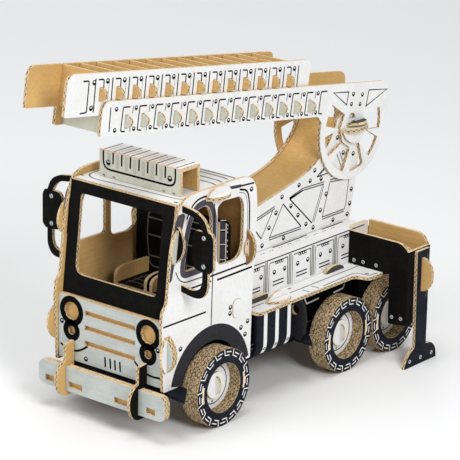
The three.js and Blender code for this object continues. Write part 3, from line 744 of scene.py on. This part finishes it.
def cab_side_art(word, sign):
    face = high("cab_side_left", 0) * sign
    art = Artwork(f"cab_side_{word}_print", "truck", side_face(face))
    # quarter window: a wide dark surround and a thin line outside it
    art.line("shade", rounded(grown(QUARTER_WINDOW, 1.9), 5, True), 2.6, True)
    outer = rounded(grown(QUARTER_WINDOW, 5.2), 7, True)
    art.line("ink", [p for p in outer if p[0] < -4 and p[1] > 118], 0.8)
    below = [(-29.9, 93.1), (-27.3, 88.0), (-22.6, 85.3), (-12.0, 84.9), (-3.0, 84.9)]
    art.line("ink", rounded(below, 3), 0.45)
    # windscreen pillar
    art.area("shade", rounded([(-25.9, 112.1), (-22.6, 122.6), (-24.5, 124.1), (-28.3, 123.9), (-30.6, 120.0),
                               (-32.4, 108.0), (-34.9, 88.0), (-32.9, 88.9), (-30.9, 97.5)], 1.2, True))
    # door window: a thin line down its rear side
    behind = [(22.0, 126.6), (28.6, 125.0), (30.7, 117.0), (30.8, 96.0), (29.6, 84.6)]
    art.line("ink", rounded(behind, 5), 0.8)
    art.line("soft", rounded([(21.5, 125.1), (27.2, 123.6), (29.1, 116.5), (29.2, 97.0)], 5), 0.3)
    # seams and belt lines
    art.line("ink", [(1.0, 123.6), (0.9, 98.0), (0.0, 55.6)], 0.55)
    art.line("ink", [(-4.9, 83.5), (31.2, 83.4)], 0.75)
    art.line("ink", [(4.3, 80.0), (33.8, 80.1)], 0.85)
    art.line("ink", [(-20.4, 80.8), (-0.7, 80.7)], 0.75)
    art.line("ink", [(-39.3, 64.6), (-4.5, 64.2)], 0.75)
    art.line("slate", [(13.7, 129.3), (23.0, 128.5)], 1.3)
    art.line("ink", [(23.0, 128.4), (34.2, 127.7)], 0.7)
    # wheel arch
    art.line("arch", circle(ARCH_CENTRE, 28.7, 40, math.radians(12), math.radians(156), closed=False), 6.7)
    for spot in [(32.0, 124.6), (31.1, 49.5), (25.5, 47.2), (29.1, 42.4), (-25.1, 48.8), (16.0, 61.3),
                 (15.8, 57.9), (-34.6, 52.6)]:
        art.rivet(spot)
    pull = rounded(DOOR_PULL, 2.6, True)
    # a grey ring round the door pull: painted shade along the raised tab's edge
    art.line("band", pull, 0.5, True)
    art.make()
    # the door pull, a tab pressed slightly proud of its panel
    cut_board(f"door_pull_{word}", pull, side_face(face), 0.03, 0.5, "white", (sign, 0, 0), Y_AXIS)


def cab_front_art():
    grille = Artwork("grille_print", "truck", front_face(low("grille_panel", 1)))
    for side in (-1, 1):
        grille.ring("ink", (27.5 * side, 57.5), 6.85, 2.5, 1, 36)
        grille.ring("ink", (27.5 * side, 46.4), 4.3, 2.6, 1, 28)
        grille.area("ink", circle((27.5 * side, 51.3), 1.5, 12))
        grille.rivet((-34.6 if side < 0 else 34.4, 50.2))
        grille.rivet((-16.9 if side < 0 else 20.7, 32.4))
    grille.line("ink", rounded([(-35.6, 37.2), (-30.0, 34.3), (-22.0, 35.6), (-15.6, 40.0)], 5), 0.9)
    grille.line("ink", rounded([(18.0, 40.2), (22.4, 36.4), (29.1, 34.4), (36.5, 35.0)], 5), 0.9)
    for a in (-2.9, 0.8, 4.2, 7.8):
        grille.line("ink", [(a - 0.2, 37.1), (a + 0.2, 31.4)], 0.85)
    grille.make()
    for word, sign in SIDES:
        mirror = Artwork(f"mirror_{word}_print", "truck", front_face(low(f"mirror_{word}", 1)))
        for b in (114.0, 98.4):
            mirror.screw((54.2 * sign, b), 1.25, (-0.5, 0.9), (0.4, -0.9))
        mirror.make()


def light_box_art():
    box = "roof_light_box"
    near, top_z = low(box, 1), high(box, 2)
    front = Artwork("light_box_front_print", "truck", front_face(near))
    border = [(-25.8, top_z), (-25.8, 133.3), (25.2, 133.3), (25.2, top_z)]
    front.line("ink", rounded(border, 5.5), 0.85)
    ribs = [-18.6 + 6.15 * k for k in range(7)]
    for a in ribs:
        front.line("ink", [(a, top_z), (a - 0.2, 136.9)], 0.8)
        front.line("band", [(a - 3.0, top_z - 1.2), (a - 3.1, 134.8)], 1.7)
    front.line("crease", [(-28.6, top_z - 0.25), (28.6, top_z - 0.25)], 0.25, level=1)
    for a in (-22.2, 21.4):
        front.rivet((a, 137.2), radius=1.35)
    for a in (-25.2, -18.0, 17.4, 24.4):
        front.line("soft", [(a - 1.0, 129.9), (a + 0.8, 129.5)], 0.6)
    front.make()
    top = Artwork("light_box_top_print", "truck", top_face(top_z))
    for a in [border[0][0], *ribs, border[-1][0]]:
        top.line("ink", [(a, near + 0.1), (a + 0.1, near + 15.6)], 0.6)
        top.line("band", [(a + 3.1, near + 0.5), (a + 3.1, near + 13.0)], 0.35)
    top.line("crease", [(-28.6, near + 0.25), (28.6, near + 0.25)], 0.25, level=1)
    top.make()


def roof_art():
    art = Artwork("cab_roof_print", "truck", top_face(high("cab_roof", 2)))
    border = [(-24.0, 29.2), (-29.5, 24.0), (-35.2, 18.0), (-35.4, -7.3), (-34.9, -17.0), (-28.6, -21.0),
              (30.2, -18.2), (33.6, -15.0)]
    art.line("soft", rounded(border, 4), 0.7)
    for b, a in ((31.8, 29.6), (28.2, 26.4), (22.2, 27.2), (16.0, 28.3)):
        art.line("soft", rounded([(-26.0, b), (a - 4, b), (a, b - 1.2)], 1.5), 0.85)
    for a, b in ((-37.4, -20.4), (31.8, -23.4), (-33.0, 30.6), (33.0, 24.0)):
        art.line("ink", [(a, b), (a + 2.4, b + 0.1)], 0.9)
    art.make()


def seat_art():
    """Cushion lines on both seat backs, and the panelled outer wing of the left one."""
    art = Artwork("seat_back_print", "truck", front_face(low("seat_back", 1)))
    for side in (-1, 1):
        a = 13.5 * side
        art.line("soft", rounded([(a - 10.5, 102.0), (a + 10.5, 102.0), (a + 11.5, 88.0), (a + 9.5, 70.0),
                                  (a - 9.5, 70.0), (a - 11.5, 88.0)], 4, True), 0.6, True)
        for b in (98.0, 88.0, 76.0):
            art.line("soft", [(a - 10.4, b), (a + 10.4, b)], 0.6)
    for start, end in ((78.0, 84.0), (85.6, 92.6), (94.2, 100.8), (102.4, 106.2)):
        wing = [(27.4, start), (31.0, start + 0.6), (31.0, end + 0.4), (27.4, end)]
        art.area("shade", rounded(wing, 0.5, True))
        art.line("paper", [(27.3, end + 0.8), (31.2, end + 1.7)], 0.4)
    art.line("paper", [(31.3, 76.0), (31.4, 106.4)], 0.5)
    art.line("cream", [(26.4, 76.0), (26.4, 106.0)], 1.0)
    for b in (86.5, 90.0, 93.3, 96.4, 101.0, 103.0, 105.0):
        art.line("paper", [(32.4, b), (32.4, b + 0.9)], 0.4)
    art.make()
    pan = Artwork("seat_pan_print", "truck", top_face(SEAT_TOP))
    for side in (-1, 1):
        for b in (0.0, 5.0, 10.0):
            pan.line("soft", [(6.0 * side, b), (20.5 * side, b)], 0.6)
        for a in (8.5, 18.5):
            pan.line("soft", [(a * side, -4.0), (a * side, 14.0)], 0.6)
    pan.make()


# ---- body artwork ----
LOCKER_PITCH = 21.0


def locker_art(word, sign):
    face = COVER_HALF * sign
    art = Artwork(f"locker_{word}_print", "truck", side_face(face))
    art.line("ink", [(34.5, 73.6), (151.5, 73.6)], 0.5)
    for k in range(5):
        start = 43.4 + LOCKER_PITCH * k
        end = min(start + 16.0, 151.0)
        art.line("ink", rounded([(start, 71.6), (end - 0.2, 71.6), (end, 55.2)], 0.3), 0.42)
        middle = (start + end) / 2
        for i in range(4):
            a = middle - 3.0 + 1.8 * i
            loop = [(a, 70.0), (a + 1.3, 70.0), (a + 1.0, 71.3), (a - 0.5, 71.3)]
            art.line("ink", rounded(loop, 0.3, True, 2), 0.3, True, 1)
        art.rivet((start + 4.0, 65.4))
        art.rivet((start + 13.2, 65.4))
        for b in (59.9, 57.9):
            art.line("ink", [(start + 2.8, b), (start + 12.6, b)], 0.55)
        if k < 4:
            art.line("band", [(end + 1.9, 72.8), (end + 1.9, 54.9)], 1.0)
            for step in (1.1, 2.7):
                art.line("ink", [(end + step, 72.8), (end + step, 54.9)], 0.28, level=1)
            art.line("ink", [(end + 4.2, 71.4), (end + 4.2, 54.9)], 0.34)
    # the printed stretch below the running board
    wall = (low("body_cover", 2) + 0.3, low(f"running_board_{word}", 2) - 0.3)
    art.area("ink", [(31.8, wall[0]), (152.3, wall[0]), (152.3, wall[1]), (31.8, wall[1])])
    art.line("paper", rounded([(96.6, 42.4), (98.8, 38.8), (110.0, 39.2)], 0.4), 0.7, level=1)
    art.line("paper", rounded([(123.8, 39.0), (132.7, 39.4), (134.4, 41.6)], 0.4), 0.7, level=1)
    art.make()


def deck_art(word, sign):
    """Pairs of dashes along the deck's edge, and black lines along the tower's foot: painted shade in the
    gaps of the slots the tower stands in.
    """
    art = Artwork(f"deck_{word}_print", "truck", top_face(DECK_TOP))
    for k in range(11):
        b = 52.6 + 8.05 * k
        for step in (-1.0, 1.0):
            art.line("soft", [(18.4 * sign, b + step - 0.5), (18.4 * sign, b + step + 0.5)], 0.6)
    # painted shade: the slot gaps between the tower's tabs
    for start, end in ((81.0, 112.5), (126.3, 146.2)):
        art.line("ink", [(15.7 * sign, start), (15.7 * sign, end)], 0.8)
    art.make()


def running_board_art(word, sign):
    art = Artwork(f"running_board_{word}_print", "truck", top_face(high("running_board_left", 2)))

    def flip(points):
        return [(x * sign, y) for x, y in points]

    art.line("soft", flip([(35.4, 72.7), (35.4, 135.8)]), 0.6)
    bent = [(42.0, 94.9), (41.2, 122.0), (42.6, 125.5), (50.4, 126.8), (50.8, 133.7)]
    art.line("soft", flip(rounded(bent, 1.2)), 0.6)
    art.line("soft", flip([(31.2, 37.5), (31.8, 55.8)]), 0.6)
    art.line("soft", flip([(35.0, 37.5), (35.0, 50.0)]), 0.6)
    for b in (81.5, 90.0):
        art.line("soft", flip([(37.4, b), (42.4, b)]), 0.6)
    for b in (64.0, 77.0):
        art.line("soft", flip([(30.6, b), (30.6, b + 2.6)]), 0.9)
    art.rivet((47.4 * sign, 128.4), "soft", 0.9)
    art.make()


TANK_BEND = 33.0         # height where a tank's side starts to curl under
TANK_RADIUS = 10.5


def tank_face(sign):
    """(y, distance down from the tank's top edge) on a tank's skin."""
    outer = high("tank_shell_left", 0)
    top = high("tank_shell_left", 2)
    straight = top - TANK_BEND

    def place(a, b, lift):
        if b <= straight:
            return point((outer + lift) * sign, a, top - b)
        t = -(b - straight) / TANK_RADIUS
        radius = TANK_RADIUS + lift
        return point((outer - TANK_RADIUS + radius * math.cos(t)) * sign, a, TANK_BEND + radius * math.sin(t))
    return place


def tank_art(word, sign):
    art = Artwork(f"tank_{word}_print", "truck", tank_face(sign))
    for a in (45.8, 56.0, 66.6):
        art.line("paper", [(a, 0.2 + 25.6 * i / 14) for i in range(15)], 2.2)
        art.ring("ink", (a, 22.4), 0.8, 0.35, 1, 12)
    art.make()


# ---- tower and outrigger artwork ----
def double_line(art, points, gap=1.3, width=0.45):
    for by in (-gap / 2, gap / 2):
        left, right = edges_of_strip(points, 2 * abs(by), False)
        chosen = left if by > 0 else right
        art.line("ink", [(p.x, p.y) for p in chosen], width)


def tower_art(word, sign):
    face = high("tower_side_left", 0) * sign
    art = Artwork(f"tower_side_{word}_print", "truck", side_face(face))
    art.line("ink", rounded([(118.4, 79.5), (96.9, 98.9), (109.1, 101.4)], 0.8), 0.6)
    double_line(art, [(96.9, 98.9), (109.1, 101.8), (128.7, 101.2)])
    double_line(art, [(128.0, 100.0), (119.4, 80.0)], 1.5, 0.35)
    art.line("ink", [(91.1, 97.3), (108.2, 79.9)], 0.6)
    art.line("soft", [(91.1, 97.3), (79.2, 79.6)], 0.5)
    double_line(art, [(79.2, 79.4), (108.2, 79.2)])
    art.line("soft", [(82.1, 95.8), (72.0, 81.2)], 0.5)
    art.line("ink", [(72.0, 81.2), (66.0, 88.0), (56.0, 88.2)], 0.6)
    double_line(art, [(62.0, 92.2), (83.6, 96.9)])
    art.line("soft", [(134.3, 100.5), (127.8, 80.8)], 0.5)
    double_line(art, [(134.3, 101.2), (152.4, 99.4)])
    double_line(art, [(127.8, 80.2), (148.7, 80.3)])
    art.line("soft", rounded([(152.4, 99.2), (150.2, 84.0), (148.7, 80.8)], 1), 0.5)
    art.line("ink", [(121.8, 106.3), (129.1, 110.6), (134.9, 106.4), (121.8, 106.3)], 0.55)
    art.line("ink", [(124.4, 107.0), (129.6, 110.0)], 0.4)
    art.line("soft", [(140.0, 116.0), (146.0, 104.5)], 0.5)
    art.line("soft", [(142.4, 117.0), (148.4, 105.5)], 0.5)
    for spot in [(84.9, 93.4), (78.9, 86.0), (90.0, 101.6), (98.4, 94.4), (105.1, 87.4), (112.8, 80.2),
                 (119.6, 76.6), (92.3, 76.9), (73.0, 76.9), (105.3, 105.2), (115.5, 105.4), (125.7, 104.4),
                 (119.6, 110.7), (136.1, 104.6), (130.9, 94.1), (126.0, 85.4), (138.3, 76.8), (155.0, 91.7),
                 (153.9, 83.2), (151.8, 77.2), (140.0, 125.8), (146.0, 115.5), (155.6, 113.0), (62.0, 84.0)]:
        art.rivet(spot)
    art.make()


def outrigger_art(word, sign):
    front = Artwork(f"outrigger_box_{word}_print", "truck", front_face(low(f"outrigger_box_{word}", 1)))
    for a, b in ((31.7, 56.6), (38.2, 56.8), (47.5, 56.9), (59.8, 28.6), (66.1, 28.9)):
        front.screw((a * sign, b), 1.15, (-0.7, 0.4), (0.7, -0.5))
    front.make()
    leg = f"outrigger_leg_{word}"
    outer = high(leg, 0) if sign > 0 else low(leg, 0)
    foot = Artwork(f"{leg}_print", "truck", side_face(outer))
    for a in (138.9, 149.4, 160.2):
        foot.screw((a, 3.7), 1.2, (-0.6, 0.5), (0.6, -0.5))
    foot.line("soft", [(152.4, 66.0), (152.4, 40.0)], 0.35)
    foot.make()


# ---- ladder ----
LADDER_PITCH = 13.0
LOWER_WINDOW = 199.0     # printed window beside the lower ladder's second rung
LOWER_RUNG = 200.4       # that rung
UPPER_WINDOW = 219.7     # first rung of the upper ladder, and its window
RUNG_HALF = 0.9          # half thickness of a rung
RUNG_EAR = (4.1, 3.3)    # how far its ears stand out, and their half height
GAP = 0.3                # clearance between boards


def lower_rail_art(word, sign):
    face = high("lower_rail_left", 0) * sign
    art = Artwork(f"lower_rail_{word}_print", "lower_ladder", ladder_face(face))
    art.line("ink", [(213.4, 22.6), (213.0, 9.9)], 0.55)
    for k in range(14):
        s = LOWER_WINDOW - LADDER_PITCH * k
        art.line("ink", rounded([(s - 1.0, 22.2), (s + 4.6, 22.2), (s + 4.9, 9.6), (s + 1.6, 9.3)], 0.8), 0.6)
        if k == 13:
            break
        art.line("soft", [(s - 3.3, 22.6), (s - 3.1, 18.8)], 0.5)
        art.line("soft", [(s - 2.2, 11.0), (s - 2.4, 8.9)], 0.5)
        art.rivet((s - 5.6, 21.4), radius=1.0)
        art.rivet((s - 5.3, 10.4), radius=1.0)
    art.rivet((208.8, 21.4), radius=1.0)
    art.rivet((208.6, 10.4), radius=1.0)
    # the two triangles and rivets over the turning disc
    triangles = [(22.45, 20.9), (8.1, 20.75), (8.9, 13.25)], [(-11.4, 21.0), (-29.3, 20.75), (-10.3, 11.6)]
    for corners in triangles:
        art.line("ink", corners, 0.5, True)
    for spot in ((3.4, 19.3), (-5.5, 18.6), (4.2, 13.5), (-4.2, 13.1)):
        art.rivet(spot, radius=1.0)
    art.make()


def upper_rail_art(word, sign):
    face = high("upper_rail_left", 0) * sign
    art = Artwork(f"upper_rail_{word}_print", "upper_ladder", ladder_face(face))
    art.line("ink", rounded([(233.8, 36.6), (229.4, 36.6), (229.2, 20.4), (234.2, 20.0)], 0.8), 0.6)
    for k in range(13):
        s = UPPER_WINDOW - LADDER_PITCH * k
        art.line("ink", [(s + 4.7, 37.6), (s + 4.3, 20.2)], 0.6)
        art.line("ink", rounded([(s + 2.4, 37.0), (s - 1.6, 37.0), (s - 1.9, 32.0)], 0.9), 0.6)
        art.rivet((s - 4.6, 36.0), radius=1.15)
        art.line("soft", [(s - 5.8, 36.0), (s - 6.0, 22.0)], 0.2)
    art.rivet((225.4, 35.6), radius=1.15)
    art.rivet((226.0, 22.4), radius=1.15)
    last = UPPER_WINDOW - 13 * LADDER_PITCH
    art.line("ink", [(last + 4.7, 37.6), (last + 4.3, 20.2)], 0.6)
    art.make()


def rung(name, s, span, ear, kind):
    """A board across a ladder with an ear through each rail, like the CAD rungs beside it."""
    stage = name.split("_")[0]
    rail = high(f"{stage}_rail_left", 0)
    inner, base = rail - BOARD - GAP, rail + GAP
    outline = []
    for side, (first, last) in ((1, span), (-1, span[::-1])):
        outline += [(inner * side, first), (inner * side, ear - RUNG_EAR[1] * side)]
        outline += [((base + RUNG_EAR[0] * math.cos(t)) * side, ear + RUNG_EAR[1] * side * math.sin(t))
                    for t in [math.pi * (i / 10 - 0.5) for i in range(11)]]
        outline += [(inner * side, ear + RUNG_EAR[1] * side), (inner * side, last)]
    cut_board(name, outline, lambda a, b, lift: ladder_point(a, s + lift, b), -RUNG_HALF, RUNG_HALF,
              kind, ALONG, X_AXIS, f"{stage}_ladder", kind)


def make_rungs():
    """The rungs between those of the CAD model."""
    for n in range(2, 15):
        if f"lower_rung_{n}" not in frame["nodes"]:
            rung(f"lower_rung_{n}", LOWER_RUNG + LADDER_PITCH * (2 - n), (8.2, 17.9), 14.6, "pale_grey")
    for n in range(1, 14):
        if f"upper_rung_{n}" not in frame["nodes"]:
            rung(f"upper_rung_{n}", UPPER_WINDOW + LADDER_PITCH * (1 - n), (18.6, 40.2), 29.4, "kraft")


# ---- wheels ----
WHEEL_R = 22.0
TYRE_HOLE = 13.8
TYRE_LAYERS = 6
RIM_FACE = 41.3
HUB_R = 7.5
TREAD_MARKS = 17


def turned(name, profile, roles, axle, sign, materials, sides=96):
    """Turns the closed profile of (radius, x) about an axle; roles are its stretches' materials."""
    bm = bmesh.new()
    rings = []
    for radius, x in profile:
        rings.append([bm.verts.new(point(x * sign, a, b)) for a, b in circle(axle, radius, sides)])
    for role, ring, after in zip(roles, rings, rings[1:] + rings[:1]):
        for k in range(sides):
            m = (k + 1) % sides
            face = bm.faces.new((ring[k], ring[m], after[m], after[k]))
            face.material_index = role
    made = new_object(name, bm, materials)
    return made


def stack_edge_material():
    """Edges of a stack of ring boards: a fine wave in each layer, shifted from layer to layer."""
    def make():
        g = Graph("stack_edge")
        layer = (high("wheel_1_left", 0) - low("wheel_1_left", 0)) / TYRE_LAYERS
        across = g.math("DIVIDE", g.math("ABSOLUTE", g.dot(X_AXIS)), layer * MM)
        count = g.math("SUBTRACT", across, low("wheel_1_left", 0) / layer)
        depth = g.math("MULTIPLY", g.math("FRACT", count), layer * MM)
        shift = g.math("MULTIPLY", g.math("FLOOR", count), 0.37 * FLUTE * MM)
        slanted = g.math("ADD", g.dot(Z_AXIS), g.math("MULTIPLY", g.dot(Y_AXIS), 0.31))
        # the last 0.85 darkens the tyre stack's paper: painted shade, for the shade round the wheels
        return finish_edge(g, depth, g.math("ADD", slanted, shift), layer, 0.85, 1.8, 0.85)
    return cached("stack_edge", make)


def tyre(name, axle, sign, body, node):
    inner, outer = low("wheel_1_left", 0), high("wheel_1_left", 0)
    layer = (outer - inner) / TYRE_LAYERS
    groove = 0.16
    profile, roles = [], []
    for k in range(TYRE_LAYERS):
        x = inner + layer * k
        profile += [(WHEEL_R - groove, x), (WHEEL_R, x + groove), (WHEEL_R, x + layer - groove)]
        roles += [1, 1, 1]
    profile.append((WHEEL_R - groove, outer))
    roles.append(0)
    profile.append((TYRE_HOLE + groove, outer))
    roles.append(1)
    for k in range(TYRE_LAYERS - 1, -1, -1):
        x = inner + layer * k
        profile += [(TYRE_HOLE, x + layer - groove), (TYRE_HOLE, x + groove), (TYRE_HOLE + groove, x)]
        roles += [1, 1, 1]
    roles[-1] = 2
    materials = [print_material("navy", Z_AXIS), stack_edge_material(), kraft_material(Z_AXIS)]
    made = turned(name, profile, roles, axle, sign, materials)
    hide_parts(node)
    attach(made, body)


def wheel_face(x, axle, sign):
    """(forward, up) about the axle, on a face looking outwards."""
    return lambda a, b, lift: point((x + lift) * sign, axle[0] - a, axle[1] + b)


def tread_art(name, axle, sign, body):
    art = Artwork(name, body, wheel_face(high("wheel_1_left", 0), axle, sign))

    def polar(radius, turn):
        return radius * math.cos(turn), radius * math.sin(turn)

    step = 2 * math.pi / TREAD_MARKS
    for k in range(TREAD_MARKS):
        t = step * k + 0.1
        # in from the rim across the tread, then on along its inside, with a bar between
        across = [polar(21.7, t), polar(18.3, t + 0.03)]
        art.line("paper", [*across, *[polar(18.2, t + 0.03 + 0.2 * i / 3) for i in range(1, 4)]], 0.42)
        art.line("paper", [polar(20.1, t + 0.09 + 0.2 * i / 3) for i in range(4)], 0.42)
    for middle in (0, math.pi):
        art.line("cream", circle((0, 0), 17.2, 8, middle - 0.27, 0.54, closed=False), 1.0, level=1)
    art.make()


def rim(name, axle, sign, body):
    """The recessed white disc, its hub disc and the lock across the hub."""
    face, front = RIM_FACE, RIM_FACE + BOARD
    white, kraft = print_material("white", Z_AXIS), kraft_material(Z_AXIS)
    disc = [(1.9, face - BOARD), (TYRE_HOLE - 0.15, face - BOARD), (TYRE_HOLE - 0.05, face), (1.9, face)]
    layers = [white, kraft, plain_edge_material()]
    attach(turned(name, disc, [1, 2, 0, 2], axle, sign, layers), body)
    hub = [(0.3, face + 0.05), (HUB_R, face + 0.05), (HUB_R, front - 0.08), (HUB_R - 0.1, front),
           (0.3, front)]
    layers = [white, kraft, edge_material([(X_AXIS * sign, front * MM)], Z_AXIS)]
    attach(turned(f"{name}_hub", hub, [1, 2, 2, 0, 2], axle, sign, layers, 64), body)
    art = Artwork(f"{name}_print", body, wheel_face(face, axle, sign))
    art.ring("ink", (0, 0), 10.9, 0.45, sides=64)
    for turn in (0.1, 1.67, 3.24, 4.81):
        art.dot("ink", (9.6 * math.cos(turn), 9.6 * math.sin(turn)), 0.6)
    art.make()
    y, z = axle
    turns = [-math.pi / 2 + math.pi * i / 12 for i in range(1, 12)]
    curved = [(front + 3.0 * math.cos(t), z + 5.2 * math.sin(t)) for t in turns]
    leaf = [(front - 0.1, z - 5.2), *curved, (front - 0.1, z + 5.2)]
    cut_board(f"{name}_lock", leaf, lambda a, b, lift: point(a * sign, y + lift, b), -0.9, 0.9,
              "white", -Y_AXIS, Z_AXIS, body=body)


def make_wheels():
    for number, place in enumerate(("front", "middle", "rear"), 1):
        pos = JOINTS[f"{place}_wheels_spin"]["pos_m"]
        axle = (pos[1] - FRONT_AXLE) / MM, pos[2] / MM
        body = f"wheelset_{place}"
        for word, sign in SIDES:
            tyre(f"tyre_{place}_{word}", axle, sign, body, f"wheel_{number}_{word}")
            tread_art(f"tread_{place}_{word}", axle, sign, body)
            rim(f"rim_{place}_{word}", axle, sign, body)


# ---- half-oval flaps bent up from a panel beside the ear that passes through it ----
FLAP = 1.5               # thickness of a flap, pressed thinner at its crease
EAR_HALF = 9.9           # half length of the lock ears on the cab
TAB_SIDE = 31.6          # outer face of the tabs through the running boards
REAR_ARCH_SIDE = 35.0    # outer face of the boards inside the rear wheels


def flap(name, centre, hinge, out, away, half, reach, lift, kind="white"):
    """Hinged at centre along hinge, it leans from out towards away by the angle lift."""
    hinge, out, away = Vector(hinge), Vector(out), Vector(away)
    rising = out * math.cos(lift) + away * math.sin(lift)
    face = away * math.cos(lift) - out * math.sin(lift)
    radius = (half * half + reach * reach) / (2 * reach)
    sweep = math.asin(half / radius)
    turns = [sweep * (i / 9 - 1) for i in range(19)]
    arc = [(reach - radius * (1 - math.cos(t)), radius * math.sin(t)) for t in turns]
    root = point(*centre)
    cut_board(name, arc, lambda a, b, up: root + (rising * a + hinge * b + face * up) * MM, 0.0, FLAP,
              kind, face, hinge)


def make_flaps(word, sign):
    side = X_AXIS * sign
    panel = (high("cab_side_left", 0) + 0.1) * sign
    slope = Vector((0, 0.157, 0.988))
    screen, grille = (panel, -30.2, 107.0), (panel, low("grille_panel", 1) - 0.1, 48.4)
    wall, roof = (panel, low("cab_rear_wall", 1) - 0.1, 92.3), (panel, 3.8, high("cab_roof", 2) + 0.1)
    flap(f"windscreen_flap_{word}", screen, slope, -Y_AXIS, side, EAR_HALF, 5.2, 0.08, "pale_grey")
    flap(f"grille_flap_{word}", grille, Z_AXIS, -Y_AXIS, side, EAR_HALF, 5.2, 0.2)
    flap(f"rear_wall_flap_{word}", wall, Z_AXIS, -Y_AXIS, side, 5.0, 3.6, 0.45)
    flap(f"roof_flap_{word}", roof, Y_AXIS, Z_AXIS, side, EAR_HALF, 4.5, 0.1)
    board = high(f"running_board_{word}", 2) + 0.1
    flap(f"running_board_flap_{word}", (38.6 * sign, 59.0, board), Y_AXIS, side, Z_AXIS, EAR_HALF, 5.0, 0.06)
    flap(f"running_board_ear_{word}", (36.6 * sign, 59.0, board), Y_AXIS, Z_AXIS, side, EAR_HALF, 5.0, 0.0)
    disc = (high("lower_rail_left", 0) + 0.2) * sign
    below = (disc, 151.5, low("ladder_pivot", 2) - 0.1)
    flap(f"pivot_flap_{word}", below, Y_AXIS, -Z_AXIS, side, 11.0, 8.0, 0.12)
    above = (disc, 153.4, high("ladder_pivot", 2) + 0.6)
    flap(f"pivot_wedge_{word}", above, Y_AXIS, side, Z_AXIS, 8.4, 6.0, 0.12, "slate")


def make_tabs(word, sign):
    """Dark tabs that stand up through the running board."""
    board = high(f"running_board_{word}", 2) + 0.05
    straight = rounded([(41.0, board), (58.0, board), (58.0, board + 2.8), (41.0, board + 2.8)], 1.0, True)
    turns = [math.pi * i / 12 for i in range(13)]
    half_round = [(119.2 + 8.4 * math.cos(t), board + 3.5 * math.sin(t)) for t in turns]
    for name, outline in (("front_tab", straight), ("rear_tab", half_round)):
        cut_board(f"{name}_{word}", outline, side_face(TAB_SIDE * sign), -BOARD, 0.0,
                  "slate", (sign, 0, 0), Y_AXIS)


def make_inner_arch(word, sign):
    """A dark upright board on the chassis between the body's end and the rear wheel: painted shadow, standing
    for the shade over the rear tyre.
    """
    foot, top = high("chassis_plate", 2) + 0.3, low(f"running_board_{word}", 2) - 0.3
    outline = rounded([(137.6, foot), (171.5, foot), (171.5, top - 6), (165.5, top), (137.6, top)], 3.0, True)
    arch = cut_board(f"shadow_arch_{word}", outline, side_face(REAR_ARCH_SIDE * sign), -BOARD, 0.0,
                     "black", (sign, 0, 0), Y_AXIS, back="black")
    darken_edges(arch, "black")


def make_end_panel():
    """The board that closes the body's rear end."""
    foot, top = low("body_cover", 2) + 0.2, DECK_TOP - 2.4
    half = COVER_HALF - 0.4
    outline = [(-half, foot), (half, foot), (half, top), (-half, top)]
    cut_board("body_end_panel", outline, front_face(high("body_cover", 1) + 0.25), -BOARD + 0.2, 0.0,
              "black", Y_AXIS, X_AXIS, back="black")


make_camera()
make_studio()
dress_boards()
dress_folded()
for art_of in (cab_side_art, locker_art, deck_art, running_board_art, tank_art, tower_art, outrigger_art,
               lower_rail_art, upper_rail_art):
    mirrored(art_of)
cab_front_art()
light_box_art()
roof_art()
seat_art()
make_rungs()
make_wheels()
mirrored(make_flaps)
mirrored(make_tabs)
mirrored(make_inner_arch)
make_end_panel()
